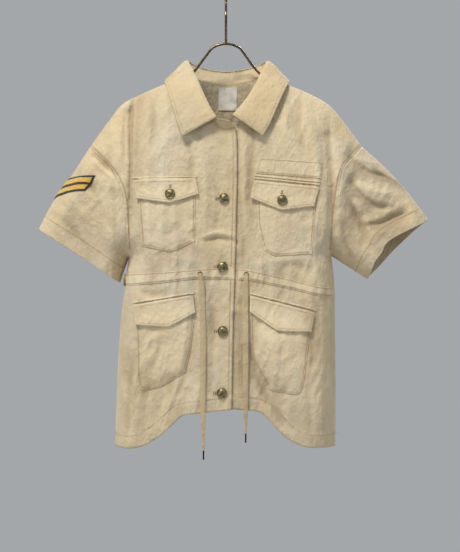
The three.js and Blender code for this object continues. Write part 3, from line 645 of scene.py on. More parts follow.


# %% [markdown]
# Cotton: a crisp plain weave with slubs and a little mottling, a groove along each row of stitches,
# and a crinkled surface. A picture of cloth could be laid on it, but would repeat and have a fixed
# sharpness, so the weave is made of waves and noise. The attribute "seam" is the distance to the
# nearest row, "fold" the height in a crease, and "inside" marks the side turned to the body. Painted
# shade darkens crease troughs, stitch grooves and insides, and painted highlight lightens crease
# ridges, beyond what the lamps make. Random bluish patches are painted cool light.

# %% Materials
def cotton(name, light, dark, shade, weave=0.35):
    s = Surface(name, 0.86)
    blotch = s.noise(9, 4, 0.55)
    cloudy = s.noise(34, 5, 0.6)
    slub_warp = s.noise(60, 3, 0.6, s.stretched((14, 14, 0.6)))
    slub_weft = s.noise(60, 3, 0.6, s.stretched((0.6, 3, 14)))
    base = s.ramp(blotch * 0.6 + cloudy * 0.4, [(0.36, dark), (0.64, light)])
    threads = s.ramp(slub_warp * 0.5 + slub_weft * 0.5, [(0.4, (0.86, 0.85, 0.82)), (0.6, (1, 1, 1))])
    coloured = s.mixed(0.5, base, threads, "MULTIPLY")
    # Painted light: random patches tinted bluish, as where a cooler daylight falls.
    cool = s.ramp(s.noise(5.5, 3, 0.5), [(0.46, (1, 1, 1)), (0.62, (0.93, 0.99, 1.1))])
    coloured = s.mixed(0.8, coloured, cool, "MULTIPLY")
    # Painted shade darkens crease troughs and painted highlight lightens crease ridges, read from "fold".
    depth = (s.attribute("fold") * 0.11 + 0.5).clamp()
    painted_fold_shade_and_highlight = s.ramp(depth, [
        (0.0, (0.46, 0.41, 0.35)), (0.34, (0.82, 0.79, 0.74)), (0.52, (1, 1, 1)), (0.9, (1.07, 1.07, 1.06)),
    ])
    coloured = s.mixed(0.55, coloured, painted_fold_shade_and_highlight, "MULTIPLY")
    seam = s.attribute("seam")
    groove = (seam * seam * -0.55).math("EXPONENT")
    near = (seam.math("ABSOLUTE") * -0.16).math("EXPONENT")
    # Painted shade along each stitch groove, in the colour passed as "shade".
    toned = s.mixed(groove * 0.6, coloured, shade)
    # Painted shade on the inner side of the cloth, marked by "inside".
    shaded = s.mixed(1.0, toned, (0.5, 0.44, 0.36), "MULTIPLY")
    toned = s.mixed(s.attribute("inside") * 0.45, toned, shaded)
    s.colour(toned)
    pucker = s.noise(170, 2, 0.5)
    warp = s.wave(420, s.stretched((1, 1, 1)), 0.4, "X")
    weft = s.wave(420, s.stretched((1, 1, 1)), 0.4, "Z")
    slubs = (warp + weft) * weave * 0.3 + slub_warp * 0.35 + slub_weft * 0.35
    height = slubs + pucker * near * 0.9 - groove * 1.1
    crinkle = (s.noise(62, 2, 0.5, s.stretched((1, 1, 0.7), (0, 0.5, 0))) - 0.5).math("ABSOLUTE")
    crumple = (s.noise(120, 2, 0.5, s.stretched((1, 1, 0.8), (0, -0.6, 0))) - 0.5).math("ABSOLUTE")
    s.bump(height * 0.6 - crinkle * 7.6 - crumple * 2.6, 0.62, 0.001)
    s.roughness(cloudy * 0.12 + 0.8)
    s.sheen(0.18, 0.45, (1, 0.96, 0.88))
    return s.material


BODY_CLOTH = cotton("cotton_body", linear(219, 202, 168), linear(202, 181, 144), linear(150, 124, 84))
TRIM_CLOTH = cotton("cotton_trim", linear(224, 207, 172), linear(212, 191, 154), linear(152, 127, 88))
COLLAR_CLOTH = cotton("cotton_collar", linear(212, 191, 152), linear(200, 178, 139), linear(150, 124, 84))
TAPE_CLOTH = cotton("tape_cloth", linear(206, 184, 146), linear(188, 163, 124), linear(140, 112, 76), 0.8)


def plain_cloth(name, light, dark, scale, weave_depth=0.0005):
    s = Surface(name, 0.75)
    s.colour(s.ramp(s.noise(scale, 4, 0.6), [(0.35, dark), (0.65, light)]))
    s.bump(s.wave(900, None, 0.6, "Z") * 0.6 + s.noise(900, 2), 0.5, weave_depth)
    s.sheen(0.3)
    return s.material


THREAD = plain_cloth("thread", linear(206, 184, 145), linear(180, 156, 118), 300)
LABEL = plain_cloth("label_cloth", linear(250, 246, 234), linear(242, 236, 220), 160)
PATCH_BLACK = plain_cloth("patch_black", linear(46, 36, 28), linear(32, 25, 20), 220, 0.0008)
PATCH_RED = plain_cloth("patch_red", linear(112, 38, 24), linear(86, 26, 16), 260, 0.0008)


def satin_stitch():
    s = Surface("patch_gold", 0.5)
    s.colour(s.ramp(s.noise(240, 4, 0.6), [(0.35, linear(214, 168, 56)), (0.65, linear(242, 202, 92))]))
    s.bump(s.wave(700, s.stretched((1, 1, 1), (0, 0.7, 0)), 0.5, "Z"), 0.6, 0.0006)
    s.sheen(0.4)
    return s.material


PATCH_GOLD = satin_stitch()


def metal(name, light, dark, rough=0.34):
    s = Surface(name, rough, 1.0)
    worn = s.noise(190, 5, 0.65)
    s.colour(s.ramp(worn, [(0.36, dark), (0.62, light)]))
    s.roughness(s.noise(420, 4, 0.6) * 0.3 + (rough - 0.12))
    s.bump(s.noise(600, 3, 0.5), 0.12, 0.0004)
    return s.material


BUTTON_METAL = metal("button_metal", linear(158, 146, 112), linear(98, 86, 60), 0.46)
# Dark thread for the buttonholes: painted shade of the slit.
SLIT_SHADE_THREAD = plain_cloth("buttonhole_slit_shade", linear(92, 78, 54), linear(60, 50, 34), 300)
EYELET_METAL = metal("eyelet_metal", linear(150, 134, 98), linear(96, 82, 56), 0.36)
WIRE_METAL = metal("wire_metal", linear(128, 108, 80), linear(62, 50, 38), 0.3)
AGLET_METAL = metal("aglet_metal", linear(46, 42, 38), linear(24, 22, 20), 0.34)
print("materials made:", len(bpy.data.materials))


# %% [markdown]
# Topstitching holds the folded edges down and shows as rows of short threads. It could be painted
# on, but a raised thread has its own light and shadow. Each stitch is a small pillow that lies along
# its row. A row follows a line in the plan on one face of the garment, or any line in space.

# %% Stitches
STITCH = {"pitch": 3.1, "length": 2.5, "width": 0.75, "height": 0.42}
stitch_sets = {}


def add_stitches(group, points, normals):
    """points and normals: arrays along a row in space, in millimetres."""
    length = length_of(points)
    count = max(2, int(length / STITCH["pitch"]))
    arc = np.concatenate([[0], np.cumsum(np.linalg.norm(np.diff(points, axis=0), axis=1))])
    centre = (np.arange(count) + 0.5) * length / count
    start, stop = centre - STITCH["length"] / 2, centre + STITCH["length"] / 2

    def pick(values, where):
        return np.stack([np.interp(where, arc, values[:, k]) for k in range(3)], axis=1)

    a, b, up = pick(points, start), pick(points, stop), pick(normals, centre)
    way = b - a
    way /= np.maximum(np.linalg.norm(way, axis=1, keepdims=True), 1e-9)
    side = np.cross(way, up)
    side /= np.maximum(np.linalg.norm(side, axis=1, keepdims=True), 1e-9)
    w, h = STITCH["width"] / 2, STITCH["height"]
    middle = (a + b) / 2
    corners = [a, b, middle + side * w, middle - side * w, middle + up * h, middle - up * h * 0.4]
    stitch_sets.setdefault(group, []).append(np.stack(corners, axis=1))


def finish_stitches():
    pattern = [(0, 2, 4), (0, 4, 3), (0, 3, 5), (0, 5, 2), (1, 4, 2), (1, 3, 4), (1, 5, 3), (1, 2, 5)]
    made = []
    for group, sets in stitch_sets.items():
        corners = np.concatenate(sets)
        base = (np.arange(len(corners)) * 6)[:, None, None]
        faces = (base + np.array(pattern)[None]).reshape(-1, 3).tolist()
        thread = SLIT_SHADE_THREAD if group == "buttonholes" else THREAD
        made.append(make_object("stitches_" + group, corners.reshape(-1, 3), faces, thread))
    return made


def plan_row(group, line, face, height, lift=0.15, step=5.0):
    """A stitch row along a plan line; height(x, z) is the cloth's distance from the middle plane."""
    count = max(4, int(length_of(np.asarray(line, float)) / step))
    p = at(np.asarray(line, float), np.linspace(0, 1, count))
    x, z = p[:, 0], p[:, 1]
    h = 2.5
    depth = height(x, z)
    slope_x = (height(x + h, z) - height(x - h, z)) / (2 * h)
    slope_z = (height(x, z + h) - height(x, z - h)) / (2 * h)
    n = np.stack([-slope_x, np.full_like(x, float(SIGN[face])), -slope_z], axis=1)
    n /= np.linalg.norm(n, axis=1, keepdims=True)
    points = np.stack([x, SIGN[face] * depth, z], axis=1) + n * lift
    add_stitches(group, points, n)


print("stitch pitch in mm:", STITCH["pitch"])

# %% [markdown]
# The two fronts and the back are the largest pieces. They could be modelled as one body and cut,
# but on the real jacket each is its own piece of cloth, sewn at the shoulders and sides, so each is
# its own shell. Its grid runs from the neck and shoulder down to the hem, and across from one edge
# to the other. The steps down the grid are finest at the shoulder, where the panel turns over.

# %% Body panels
ROWS = [0, 0.0015, 0.005, 0.012, 0.035, 0.07, 0.12, 0.17, 0.22, 0.28, 0.34, 0.4, 0.45,
        0.5, 0.56, 0.62, 0.68, 0.74, 0.8, 0.86, 0.93, 1]
ARM_ROWS = [0, 0.015, 0.045, 0.1, 0.19, 0.3, 0.42, 0.54, 0.66, 0.77, 0.87, 0.95, 1]
NECK_STEPS, SHOULDER_STEPS = 6, 8
ARM_STEPS, SIDE_STEPS = 12, 9
BACK_STEPS = 10
FRONT_COLUMNS = {
    "left": [0, 0.08, 0.17, 0.24, 0.3, 0.345, 0.39, 0.48, 0.57, 0.66, 0.745, 0.825, 0.895, 0.955, 1],
    "right": [0, 0.12, 0.2, 0.27, 0.33, 0.38, 0.42, 0.5, 0.58, 0.67, 0.75, 0.83, 0.9, 0.955, 1],
}
BACK_COLUMNS = [0, 0.12, 0.24, 0.36, 0.48, 0.6, 0.71, 0.81, 0.89, 0.955, 1]
BACK_NECK = 3
FINE = 1.0


def index_steps(*spans):
    """Spans of (from, to, step) in a table's row numbers."""
    parts = [np.linspace(a, b, max(2, round((b - a) / step * FINE) + 1))[:-1] for a, b, step in spans]
    return np.concatenate(parts + [[spans[-1][1]]])


def by_index(table, index):
    return np.interp(index, np.arange(len(table)), table)


ROW_INDEX = index_steps((0, 3, 0.5), (3, ARM_STEPS, 0.1), (ARM_STEPS, ARM_STEPS + SIDE_STEPS, 0.1))
COLUMN_INDEX = index_steps((0, NECK_STEPS, 0.15), (NECK_STEPS, NECK_STEPS + SHOULDER_STEPS, 0.1))
BACK_INDEX = index_steps(
    (-BACK_STEPS, -BACK_NECK, 0.12), (-BACK_NECK, BACK_NECK, 0.15), (BACK_NECK, BACK_STEPS, 0.12)
)


def arm_and_side(side):
    arm_index = ROW_INDEX[ROW_INDEX <= ARM_STEPS + 1e-6]
    below = ROW_INDEX[ROW_INDEX > ARM_STEPS + 1e-6]
    arm = at(LINES[side]["armhole"], by_index(ARM_ROWS, arm_index))
    seam = at(LINES[side]["side"], (below - ARM_STEPS) / SIDE_STEPS)
    return np.vstack([arm, seam])


def tuck(x, z):
    """How far the right front lies under the left one, near the edge that laps over it."""
    edge = np.interp(-z, -EDGE["left"][:, 1], EDGE["left"][:, 0])
    return LAP * smooth((edge + 12 - x) / 9)


def front_height(side, detail=1.0):
    def height(x, z):
        depth = half_depth(x, z, "front", detail)
        if side == "right":
            depth = depth - tuck(x, z)
        return depth

    return height


def front_plan(side):
    index = COLUMN_INDEX
    neck = at(NECK[side], index[index < NECK_STEPS] / NECK_STEPS)
    shoulder = at(LINES[side]["shoulder"], (index[index >= NECK_STEPS] - NECK_STEPS) / SHOULDER_STEPS)
    u = by_index(FRONT_COLUMNS[side], index)
    v = by_index(ROWS, ROW_INDEX)
    top = np.vstack([neck, shoulder])
    plan = blend_patch(top, at(HEMLINE[side], u), at(EDGE[side], v), arm_and_side(side), u, v, 3)
    return plan, index


def stitch_distance(plan, lines):
    x, z = plan[..., 0], plan[..., 1]
    nearest = np.full(x.shape, FAR_FROM_SEAM)
    for line in lines:
        nearest = np.minimum(nearest, distance(thin(np.asarray(line, float), 14), x, z))
    return nearest


def offset_line(line, by):
    """A plan line moved sideways; positive is to the right of its way."""
    line = np.asarray(line, float)
    way = np.gradient(line, axis=0)
    way /= np.maximum(np.linalg.norm(way, axis=1, keepdims=True), 1e-9)
    return line + by * np.stack([way[:, 1], -way[:, 0]], axis=1)


HEM_TURN = 24
panel_rows = {}


def clipped(line, keep):
    line = np.asarray(line, float)
    chosen = line[keep(line)]
    return chosen if len(chosen) > 3 else line


panel_rows["left"] = [
    clipped(offset_line(EDGE["left"], 7), lambda p: p[:, 1] < -290),
    offset_line(thin(HEMLINE["left"], 6), HEM_TURN),
    clipped(offset_line(LINES["left"]["armhole"], -6), lambda p: p[:, 1] > -520),
    clipped(offset_line(LINES["left"]["shoulder"], 8), lambda p: p[:, 0] < -84),
]
panel_rows["right"] = [
    offset_line(thin(clipped(HEMLINE["right"], lambda p: p[:, 0] > 22), 6), -HEM_TURN),
    clipped(offset_line(LINES["right"]["armhole"], 6), lambda p: p[:, 1] > -520),
    clipped(offset_line(LINES["right"]["shoulder"], -8), lambda p: p[:, 0] > 86),
]
panel_rows["back"] = [
    offset_line(thin(HEMLINE["back"], 6), -HEM_TURN),
    clipped(offset_line(LINES["left"]["armhole"], -6), lambda p: p[:, 1] > -520),
    clipped(offset_line(LINES["right"]["armhole"], 6), lambda p: p[:, 1] > -520),
]
EDGE_BAND = 0.8


def hem_step(plan, hem):
    """The turned hem is thicker: a low step up to its stitch row."""
    d = distance(thin(hem, 10), plan[..., 0], plan[..., 1])
    return EDGE_BAND * smooth((HEM_TURN + 2 - d) / 4)


def build_front(side):
    plan, index = front_plan(side)
    x, z = plan[..., 0], plan[..., 1]
    depth = front_height(side)(x, z) + hem_step(plan, HEMLINE[side])
    if side == "left":
        edge_distance = distance(thin(EDGE["left"], 20), x, z)
        depth = depth + 0.7 * smooth((12 - edge_distance) / 5)
    depth = np.maximum(depth, EDGE_HALF)
    depth[index >= NECK_STEPS, 0] = EDGE_HALF
    depth[-1, ROW_INDEX >= ARM_STEPS] = EDGE_HALF
    outer = np.stack([x, -depth, z], axis=-1)
    inner = outer - facing(outer, np.array([0, -1, 0])) * WALL
    inner[..., 1] = np.minimum(inner[..., 1], -EDGE_HALF)
    seam = stitch_distance(plan, panel_rows[side])
    fold = cloth_detail(x, z, "front")
    # Painted shade on the right front beside the edge of the left front that laps over it.
    if side == "right":
        lap_edge = np.interp(-z, -EDGE["left"][:, 1], EDGE["left"][:, 0])
        fold = fold - 2.4 * bell((x - lap_edge - 6) / 24) * smooth((-320 - z) / 120)
    obj = shell("cloth_front_" + side, outer, inner, BODY_CLOTH, attributes={"seam": seam, "fold": fold})
    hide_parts("front_" + side)
    for line in panel_rows[side]:
        plan_row("front_" + side, line, "front", front_height(side), 0.9 if side == "left" else 0.5)


def back_height(detail=1.0):
    return lambda x, z: half_depth(x, z, "back", detail)


def build_back():
    index = BACK_INDEX
    shoulder_steps = BACK_STEPS - BACK_NECK
    left = at(LINES["left"]["shoulder"], 1 - (index[index < -BACK_NECK] + BACK_STEPS) / shoulder_steps)
    inside = (index >= -BACK_NECK) & (index <= BACK_NECK)
    neck = at(NECK["back"], (index[inside] + BACK_NECK) / (2 * BACK_NECK))
    right = at(LINES["right"]["shoulder"], (index[index > BACK_NECK] - BACK_NECK) / shoulder_steps)
    u = 0.5 + np.sign(index) * by_index(BACK_COLUMNS, np.abs(index)) / 2
    v = by_index(ROWS, ROW_INDEX)
    top = np.vstack([left, neck, right])
    plan = blend_patch(top, at(HEMLINE["back"], u), arm_and_side("left"), arm_and_side("right"), u, v, 6)
    x, z = plan[..., 0], plan[..., 1]
    depth = np.maximum(back_height()(x, z) + hem_step(plan, HEMLINE["back"]), EDGE_HALF)
    depth[np.abs(index) >= BACK_NECK, 0] = EDGE_HALF
    depth[0, ROW_INDEX >= ARM_STEPS] = EDGE_HALF
    depth[-1, ROW_INDEX >= ARM_STEPS] = EDGE_HALF
    outer = np.stack([x, depth, z], axis=-1)
    inner = outer - facing(outer, np.array([0, 1, 0])) * WALL
    inner[..., 1] = np.maximum(inner[..., 1], EDGE_HALF)
    seam = stitch_distance(plan, panel_rows["back"])
    fold = cloth_detail(x, z, "back")
    obj = shell("cloth_back", outer, inner, BODY_CLOTH, attributes={"seam": seam, "fold": fold})
    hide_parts("back")
    for line in panel_rows["back"]:
        plan_row("back", line, "back", back_height(), 0.4)


build_front("left")
build_front("right")
build_back()
print("body panels made")


# %% [markdown]
# Each short sleeve is one piece of cloth wrapped round and sewn under the arm, so it is a tube of
# rings from the armhole to the cuff, and open at the cuff. The cuff is turned in and stitched.

# %% Sleeves
CUFF_HEM = 28


def sleeve_rings(side):
    lines = LINES[side]
    around = by_index(ARM_ROWS, index_steps((0, ARM_STEPS, 0.16)))
    upper = np.linspace(0, 0.8, round(44 * FINE), endpoint=False)
    along = np.concatenate([upper, np.linspace(0.8, 1, round(22 * FINE))])
    way = 1 if side == "left" else -1
    arm = offset_line(at(lines["armhole"], np.linspace(0, 1, 200)), -0.55 * way)
    arm = at(arm, around)
    rings = {}
    for face in ("front", "back"):
        cuff = at(lines["cuff_" + face], around)
        fold = at(lines["fold"], along)
        under = at(lines["under"], along)
        fold[0], under[0] = arm[0], arm[-1]
        rings[face] = blend_patch(arm, cuff, fold, under, around, along)
    return rings, around


def build_sleeve(side):
    rings, around = sleeve_rings(side)
    parts, seams, folds = [], [], []
    last = len(around) - 1
    turn = -CUFF_HEM if side == "left" else CUFF_HEM
    cuff_rows = {face: offset_line(LINES[side]["cuff_" + face], turn) for face in rings}
    for face, rows in (("front", slice(0, last + 1)), ("back", slice(last - 1, 0, -1))):
        plan = rings[face][rows]
        x, z = plan[..., 0], plan[..., 1]
        depth = half_depth(x, z, face)
        hem_distance = distance(thin(LINES[side]["cuff_" + face], 8), x, z)
        band = 0.9 * smooth((CUFF_HEM + 2 - hem_distance) / 4)
        depth = np.maximum(depth + band, 0)
        if face == "front":
            depth[0], depth[-1] = 0, 0
        parts.append(np.stack([x, SIGN[face] * depth, z], axis=-1))
        seams.append(np.abs(hem_distance - CUFF_HEM))
        folds.append(cloth_detail(x, z, face))
    outer = np.concatenate(parts)
    n = facing(outer, np.stack([0 * outer[..., 0], outer[..., 1], 0 * outer[..., 0]], axis=-1), True)
    inner = outer - n * WALL
    obj = shell("cloth_sleeve_" + side, outer, inner, BODY_CLOTH, True,
                {"seam": np.concatenate(seams), "fold": np.concatenate(folds)})
    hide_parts("sleeve_" + side)
    for face in ("front", "back"):
        row = at(cuff_rows[face], np.linspace(0.08, 0.93, 60))
        plan_row("sleeve_" + side, row, face, lambda px, pz, f=face: half_depth(px, pz, f) + 0.5, 0.5)


for side in SIDES:
    build_sleeve(side)
print("sleeves made")


# %% [markdown]
# Pockets, flaps, the waist channel and the name tape are sewn flat on a panel, so each is a patch
# with four sides that takes the panel's own height and stands off from it. A pocket swells in its
# middle and a flap hangs away at its point. Each patch is thick to its edge, rounds down there, and
# most have a row of stitches near their edge.

# %% Pieces on the panels
# Where a pocket swells, columns: middle x, z, half width, half height, rise
POCKET_PUFF = {
    "chest_left": (-108, -446, 58, 64, 4), "chest_right": (108, -452, 56, 66, 4),
    "lower_left": (-120, -702, 60, 90, 7), "lower_right": (102, -712, 58, 92, 8),
}
PATCHES = {
    "chest_pocket_left": {
        "top": [(-170, -380), (-58, -380)], "right": [(-58, -380), (-59, -440), (-60, -503)],
        "bottom": [(-162, -512), (-106, -524), (-60, -503)],
        "left": [(-170, -380), (-167, -450), (-162, -512)]},
    "chest_flap_left": {
        "top": [(-180, -384), (-58, -381.5)], "right": [(-58, -381.5), (-52, -412)],
        "bottom": [(-173, -420), (-107.5, -429.5), (-52, -412)], "left": [(-180, -384), (-173, -420)]},
    "chest_pocket_right": {
        "top": [(60, -392), (174, -404)], "right": [(174, -404), (171, -470), (166, -527)],
        "bottom": [(74, -520), (96, -532), (166, -527)], "left": [(60, -392), (62, -470), (74, -520)]},
    "chest_flap_right": {
        "top": [(54, -385), (181, -398)], "right": [(181, -398), (170, -436)],
        "bottom": [(47.5, -419), (107, -443.5), (170, -436)], "left": [(54, -385), (47.5, -419)]},
    "lower_pocket_left": {
        "top": [(-172, -632), (-60, -612)], "right": [(-60, -612), (-61, -660), (-68, -715), (-77, -754)],
        "bottom": [(-161, -790), (-124, -783), (-77, -754)],
        "left": [(-172, -632), (-171, -700), (-169, -770), (-161, -790)]},
    "lower_flap_left": {
        "top": [(-179, -626), (-63, -606.5)], "right": [(-63, -606.5), (-58, -640)],
        "bottom": [(-173, -664), (-108.5, -667.5), (-58, -640)], "left": [(-179, -626), (-173, -664)]},
    "lower_pocket_right": {
        "top": [(47, -616), (168, -640)], "right": [(168, -640), (160, -690), (150, -772), (143, -792)],
        "bottom": [(84, -789), (134, -797), (143, -792)],
        "left": [(47, -616), (48, -680), (50, -728), (84, -789)]},
    "lower_flap_right": {
        "top": [(47, -608), (172, -640)], "right": [(172, -640), (164, -677)],
        "bottom": [(45.5, -638.5), (99, -675.5), (164, -677)], "left": [(47, -608), (45.5, -638.5)]},
}


def puff(name, x, z):
    cx, cz, half_width, half_height, rise = POCKET_PUFF[name]
    u, v = np.abs(x - cx) / half_width, np.abs(z - cz) / half_height
    return rise * smooth(1.15 - u) * smooth(1.2 - v)


def soft_corners(points, sharp=0.14):
    """A line through the points with its inner corners a little rounded."""
    p = np.array(points, float)
    if len(p) < 3:
        return at(p, np.linspace(0, 1, 40))
    made = [p[0]]
    for a, b, c in zip(p[:-2], p[1:-1], p[2:]):
        made += [mix(b, a, sharp), mix(b, mix(a, c, 0.5), sharp * 0.35), mix(b, c, sharp)]
    made.append(p[-1])
    return at(smooth_line(made, 8), np.linspace(0, 1, 120))


EDGE_STEPS = [0, 0.004, 0.012, 0.03, 0.055]


def edge_grid(count):
    inner = np.linspace(0.055, 0.945, round(count * FINE))[1:-1]
    steps = np.array(EDGE_STEPS)
    return np.concatenate([steps, inner, 1 - steps[::-1]])


def patch_plan(sides, nu, nv):
    u, v = edge_grid(nu), edge_grid(nv)
    top, bottom = at(soft_corners(sides["top"]), u), at(soft_corners(sides["bottom"]), u)
    left, right = at(soft_corners(sides["left"], 0.25), v), at(soft_corners(sides["right"], 0.25), v)
    return blend_patch(top, bottom, left, right, u, v)


def outline_of(sides):
    top, right = soft_corners(sides["top"]), soft_corners(sides["right"], 0.25)
    bottom, left = soft_corners(sides["bottom"]), soft_corners(sides["left"], 0.25)
    return {"top": top, "right": right, "bottom": bottom, "left": left}


def cloth_patch(name, sides, base, thickness, material, node, face="front", nu=44, nv=50, inset=5.0,
                rows=("top", "right", "bottom", "left"), ripple=0.3, lift=None, gap=0.4):
    """base(x, z) is the height of what carries the piece; lift(x, z, edge) is how far it stands off."""
    plan = patch_plan(sides, nu, nv)
    x, z = plan[..., 0], plan[..., 1]
    lines = outline_of(sides)
    edge = np.min([distance(lines[k][::4], x, z) for k in lines], axis=0)
    stand = gap + (lift(x, z, edge) if lift else 0)
    wave = ripple * noise((x + z) / 7, (x - z) / 7, 2) * bell((edge - 6) / 9)
    low = base(x, z) + stand
    high = low + thickness * arch(edge / (thickness * 1.1) + 0.02) + wave * smooth(edge / 4)
    y = SIGN[face]
    outer = np.stack([x, y * high, z], axis=-1)
    inner = np.stack([x, y * low, z], axis=-1)
    seam = np.full(x.shape, FAR_FROM_SEAM)
    centre = np.mean(np.vstack([lines[k] for k in lines]), axis=0)
    for k in rows:
        row = lines[k]
        moved = offset_line(row, inset)
        if np.linalg.norm(moved - centre, axis=1).mean() > np.linalg.norm(row - centre, axis=1).mean():
            moved = offset_line(row, -inset)
        span = length_of(row)
        moved = at(moved, np.linspace(inset / span, 1 - inset / span, 60))
        seam = np.minimum(seam, distance(moved[::3], x, z))

        def height(px, pz):
            e = np.min([distance(lines[q][::4], px, pz) for q in lines], axis=0)
            return base(px, pz) + gap + (lift(px, pz, e) if lift else 0) + thickness

        plan_row(name, moved, face, height, 0.1)
    seam = seam + (0.9 if "flap" in name else 0)
    # Painted shade and highlight: creases, and parts that stand off more from the panel lightened, those
    # lying closer darkened.
    fold = 0.7 * cloth_detail(x, z, face) + (stand - np.median(stand)) * 0.5
    obj = shell("cloth_" + name, outer, inner, material, attributes={"seam": seam, "fold": fold})
    if node:
        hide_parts(node)


for side in SIDES:
    panel = front_height(side)
    calm_panel = front_height(side, 0.45)
    for place in ("chest", "lower"):
        key = place + "_" + side

        def pocket_lift(x, z, edge, key=key):
            return puff(key, x, z) * smooth(edge / 16) + 0.9 * noise(x / 16, z / 22, 5) * smooth(edge / 14)

        def flap_lift(x, z, edge, key=key):
            low = PATCHES[key.replace("_", "_flap_")]["bottom"]
            hang = smooth(1 - distance(np.array(low, float), x, z) / 30)
            return puff(key, x, z) + 2.0 + 2.4 * hang + 0.6 * noise(x / 20, z / 14, 4) * hang

        pocket, flap = place + "_pocket_" + side, place + "_flap_" + side
        cloth_patch(pocket, PATCHES[pocket], panel, 1.3, TRIM_CLOTH, pocket, inset=3.2,
                    rows=("right", "bottom", "left"), lift=pocket_lift)
        cloth_patch(flap, PATCHES[flap], calm_panel, 2.0, TRIM_CLOTH, flap, inset=5.0, nv=30, lift=flap_lift)
# A turned seam stands up as a narrow ridge above each flap. Columns: name, panel, left end, right end
RIDGES = [
    ("chest_left", "left", (-183, -378), (-55, -376)),
    ("chest_right", "right", (54, -378.5), (182, -391)),
    ("chest_right_low", "right", (56, -373.5), (183, -386)),
    ("lower_left", "left", (-181, -620), (-60, -600.5)),
    ("lower_right", "right", (47, -602), (174, -634)),
]
RIDGE_WIDTH = 3.4
for name, side, start, end in RIDGES:
    low_start, low_end = (start[0], start[1] - RIDGE_WIDTH), (end[0], end[1] - RIDGE_WIDTH)
    outline = {"top": [start, end], "bottom": [low_start, low_end], "left": [start, low_start],
               "right": [end, low_end]}
    cloth_patch("ridge_" + name, outline, front_height(side), 1.3, TRIM_CLOTH, None, nu=60, nv=6, rows=(),
                ripple=0)
print("pockets made")

CHANNELS = {
    "waist_channel_left": ("left", [(-203, -566), (-128, -563), (-56, -557), (16.5, -552.5)],
                           [(-203, -590), (-120, -583), (-54, -575), (16.5, -577)]),
    "waist_channel_right": ("right", [(24, -556), (49, -559), (120, -575), (178, -590), (217, -594)],
                            [(24, -577), (49, -579), (120, -594), (178, -608), (217, -612)]),
}


def gathers(x, z, edge):
    """The cloth of the waist channel stands up in short ripples, because the cord draws it in."""
    return (0.5 + 0.5 * noise(x / 5.5, z / 60, 4)) * smooth(edge / 6)


for name, (side, top, bottom) in CHANNELS.items():
    outline = {"top": top, "bottom": bottom, "left": [top[0], bottom[0]], "right": [top[-1], bottom[-1]]}
    cloth_patch(name, outline, front_height(side), 1.0, TRIM_CLOTH, name, inset=2.6, nu=110, nv=12,
                rows=("top", "bottom"), lift=gathers)


def back_channel():
    top = [(-203, -566), (-110, -570), (0, -573), (110, -580), (217, -594)]
    bottom = [(-203, -590), (-110, -592), (0, -595), (110, -602), (217, -612)]
    outline = {"top": top, "bottom": bottom, "left": [top[0], bottom[0]], "right": [top[-1], bottom[-1]]}
    name = "waist_channel_back"
    cloth_patch(name, outline, back_height(), 1.0, TRIM_CLOTH, name, face="back", inset=2.6, nu=160, nv=12,
                rows=("top", "bottom"), lift=gathers)


back_channel()
TAPE = {"top": [(65.5, -341), (189, -349.5)], "right": [(189, -349.5), (185, -381.5)],
        "bottom": [(58.5, -371), (185, -381.5)], "left": [(65.5, -341), (58.5, -371)]}
cloth_patch("name_tape", TAPE, front_height("right"), 0.9, TRIM_CLOTH, "name_tape", inset=2.5, nv=16,
            ripple=0.15)
LABEL_SIDES = {"top": [(-15, -187), (22, -187)], "right": [(22, -187), (22, -232)],
               "bottom": [(-15, -232), (22, -232)], "left": [(-15, -187), (-15, -232)]}


def build_label():
    plan = patch_plan(LABEL_SIDES, 20, 24)
    x, z = plan[..., 0], plan[..., 1]
    depth = half_depth(x, z, "back") - WALL - 0.6
    outer = np.stack([x, depth - 0.6, z], axis=-1)
    inner = np.stack([x, depth, z], axis=-1)
    obj = shell("woven_label", outer, inner, LABEL, attributes={"seam": np.full(x.shape, FAR_FROM_SEAM)})
    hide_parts("neck_label")
    for a, b in (((-14, -188.5), (21, -188.5)), ((-14, -230.5), (21, -230.5))):
        line = at(np.array([a, b], float), np.linspace(0, 1, 12))
        y = half_depth(line[:, 0], line[:, 1], "back") - WALL - 1.4
        points = np.stack([line[:, 0], y, line[:, 1]], axis=1)
        add_stitches("label", points, np.tile([0.0, -1.0, 0.0], (12, 1)))


build_label()
print("channel, tape and label made")


# %% [markdown]
# A shirt collar has two parts: a stand sewn to the neck, and a fall that rolls over it and lies on
# the shoulders. Each is a shell between two lines in space, because a collar is cut from stiffened
# cloth and keeps the shape of its edges. The lines run from the left front end round the neck to the
# right one, columns x, y, z.

# %% Collar
FOLD_LINE = [
    (-18, -64, -266), (-29, -59, -249), (-41, -47, -224), (-55, -28, -190), (-68, -8, -160), (-77, 10, -141),
    (-68, 30, -143), (-42, 47, -149), (0, 54, -153), (42, 47, -149), (70, 30, -144),
    (82, 10, -142), (72, -8, -164), (60, -28, -192), (46, -45, -218), (31, -54, -240), (13, -61, -261),
]
OUTER_EDGE = [
    (-84, -65, -301), (-93, -61, -276), (-103, -52, -245), (-112, -37, -215), (-119, -17, -192),
    (-122, 6, -181),
    (-106, 36, -189), (-62, 59, -199), (0, 66, -203), (62, 59, -199), (108, 36, -190),
    (126, 6, -182), (121, -18, -194), (111, -38, -216), (98, -53, -246), (85, -61, -276), (71, -65, -300),
]
TAB_TOP = [(8, -66.5, -272), (-5, -66, -268)]
COLLAR_ROW = 5.5
COLLAR_WAY = 640


def station_line(points, count):
    """Points at even shares of the table's rows."""
    fine = smooth_line(points, 24)
    return fine[np.round(np.linspace(0, len(fine) - 1, count)).astype(int)]


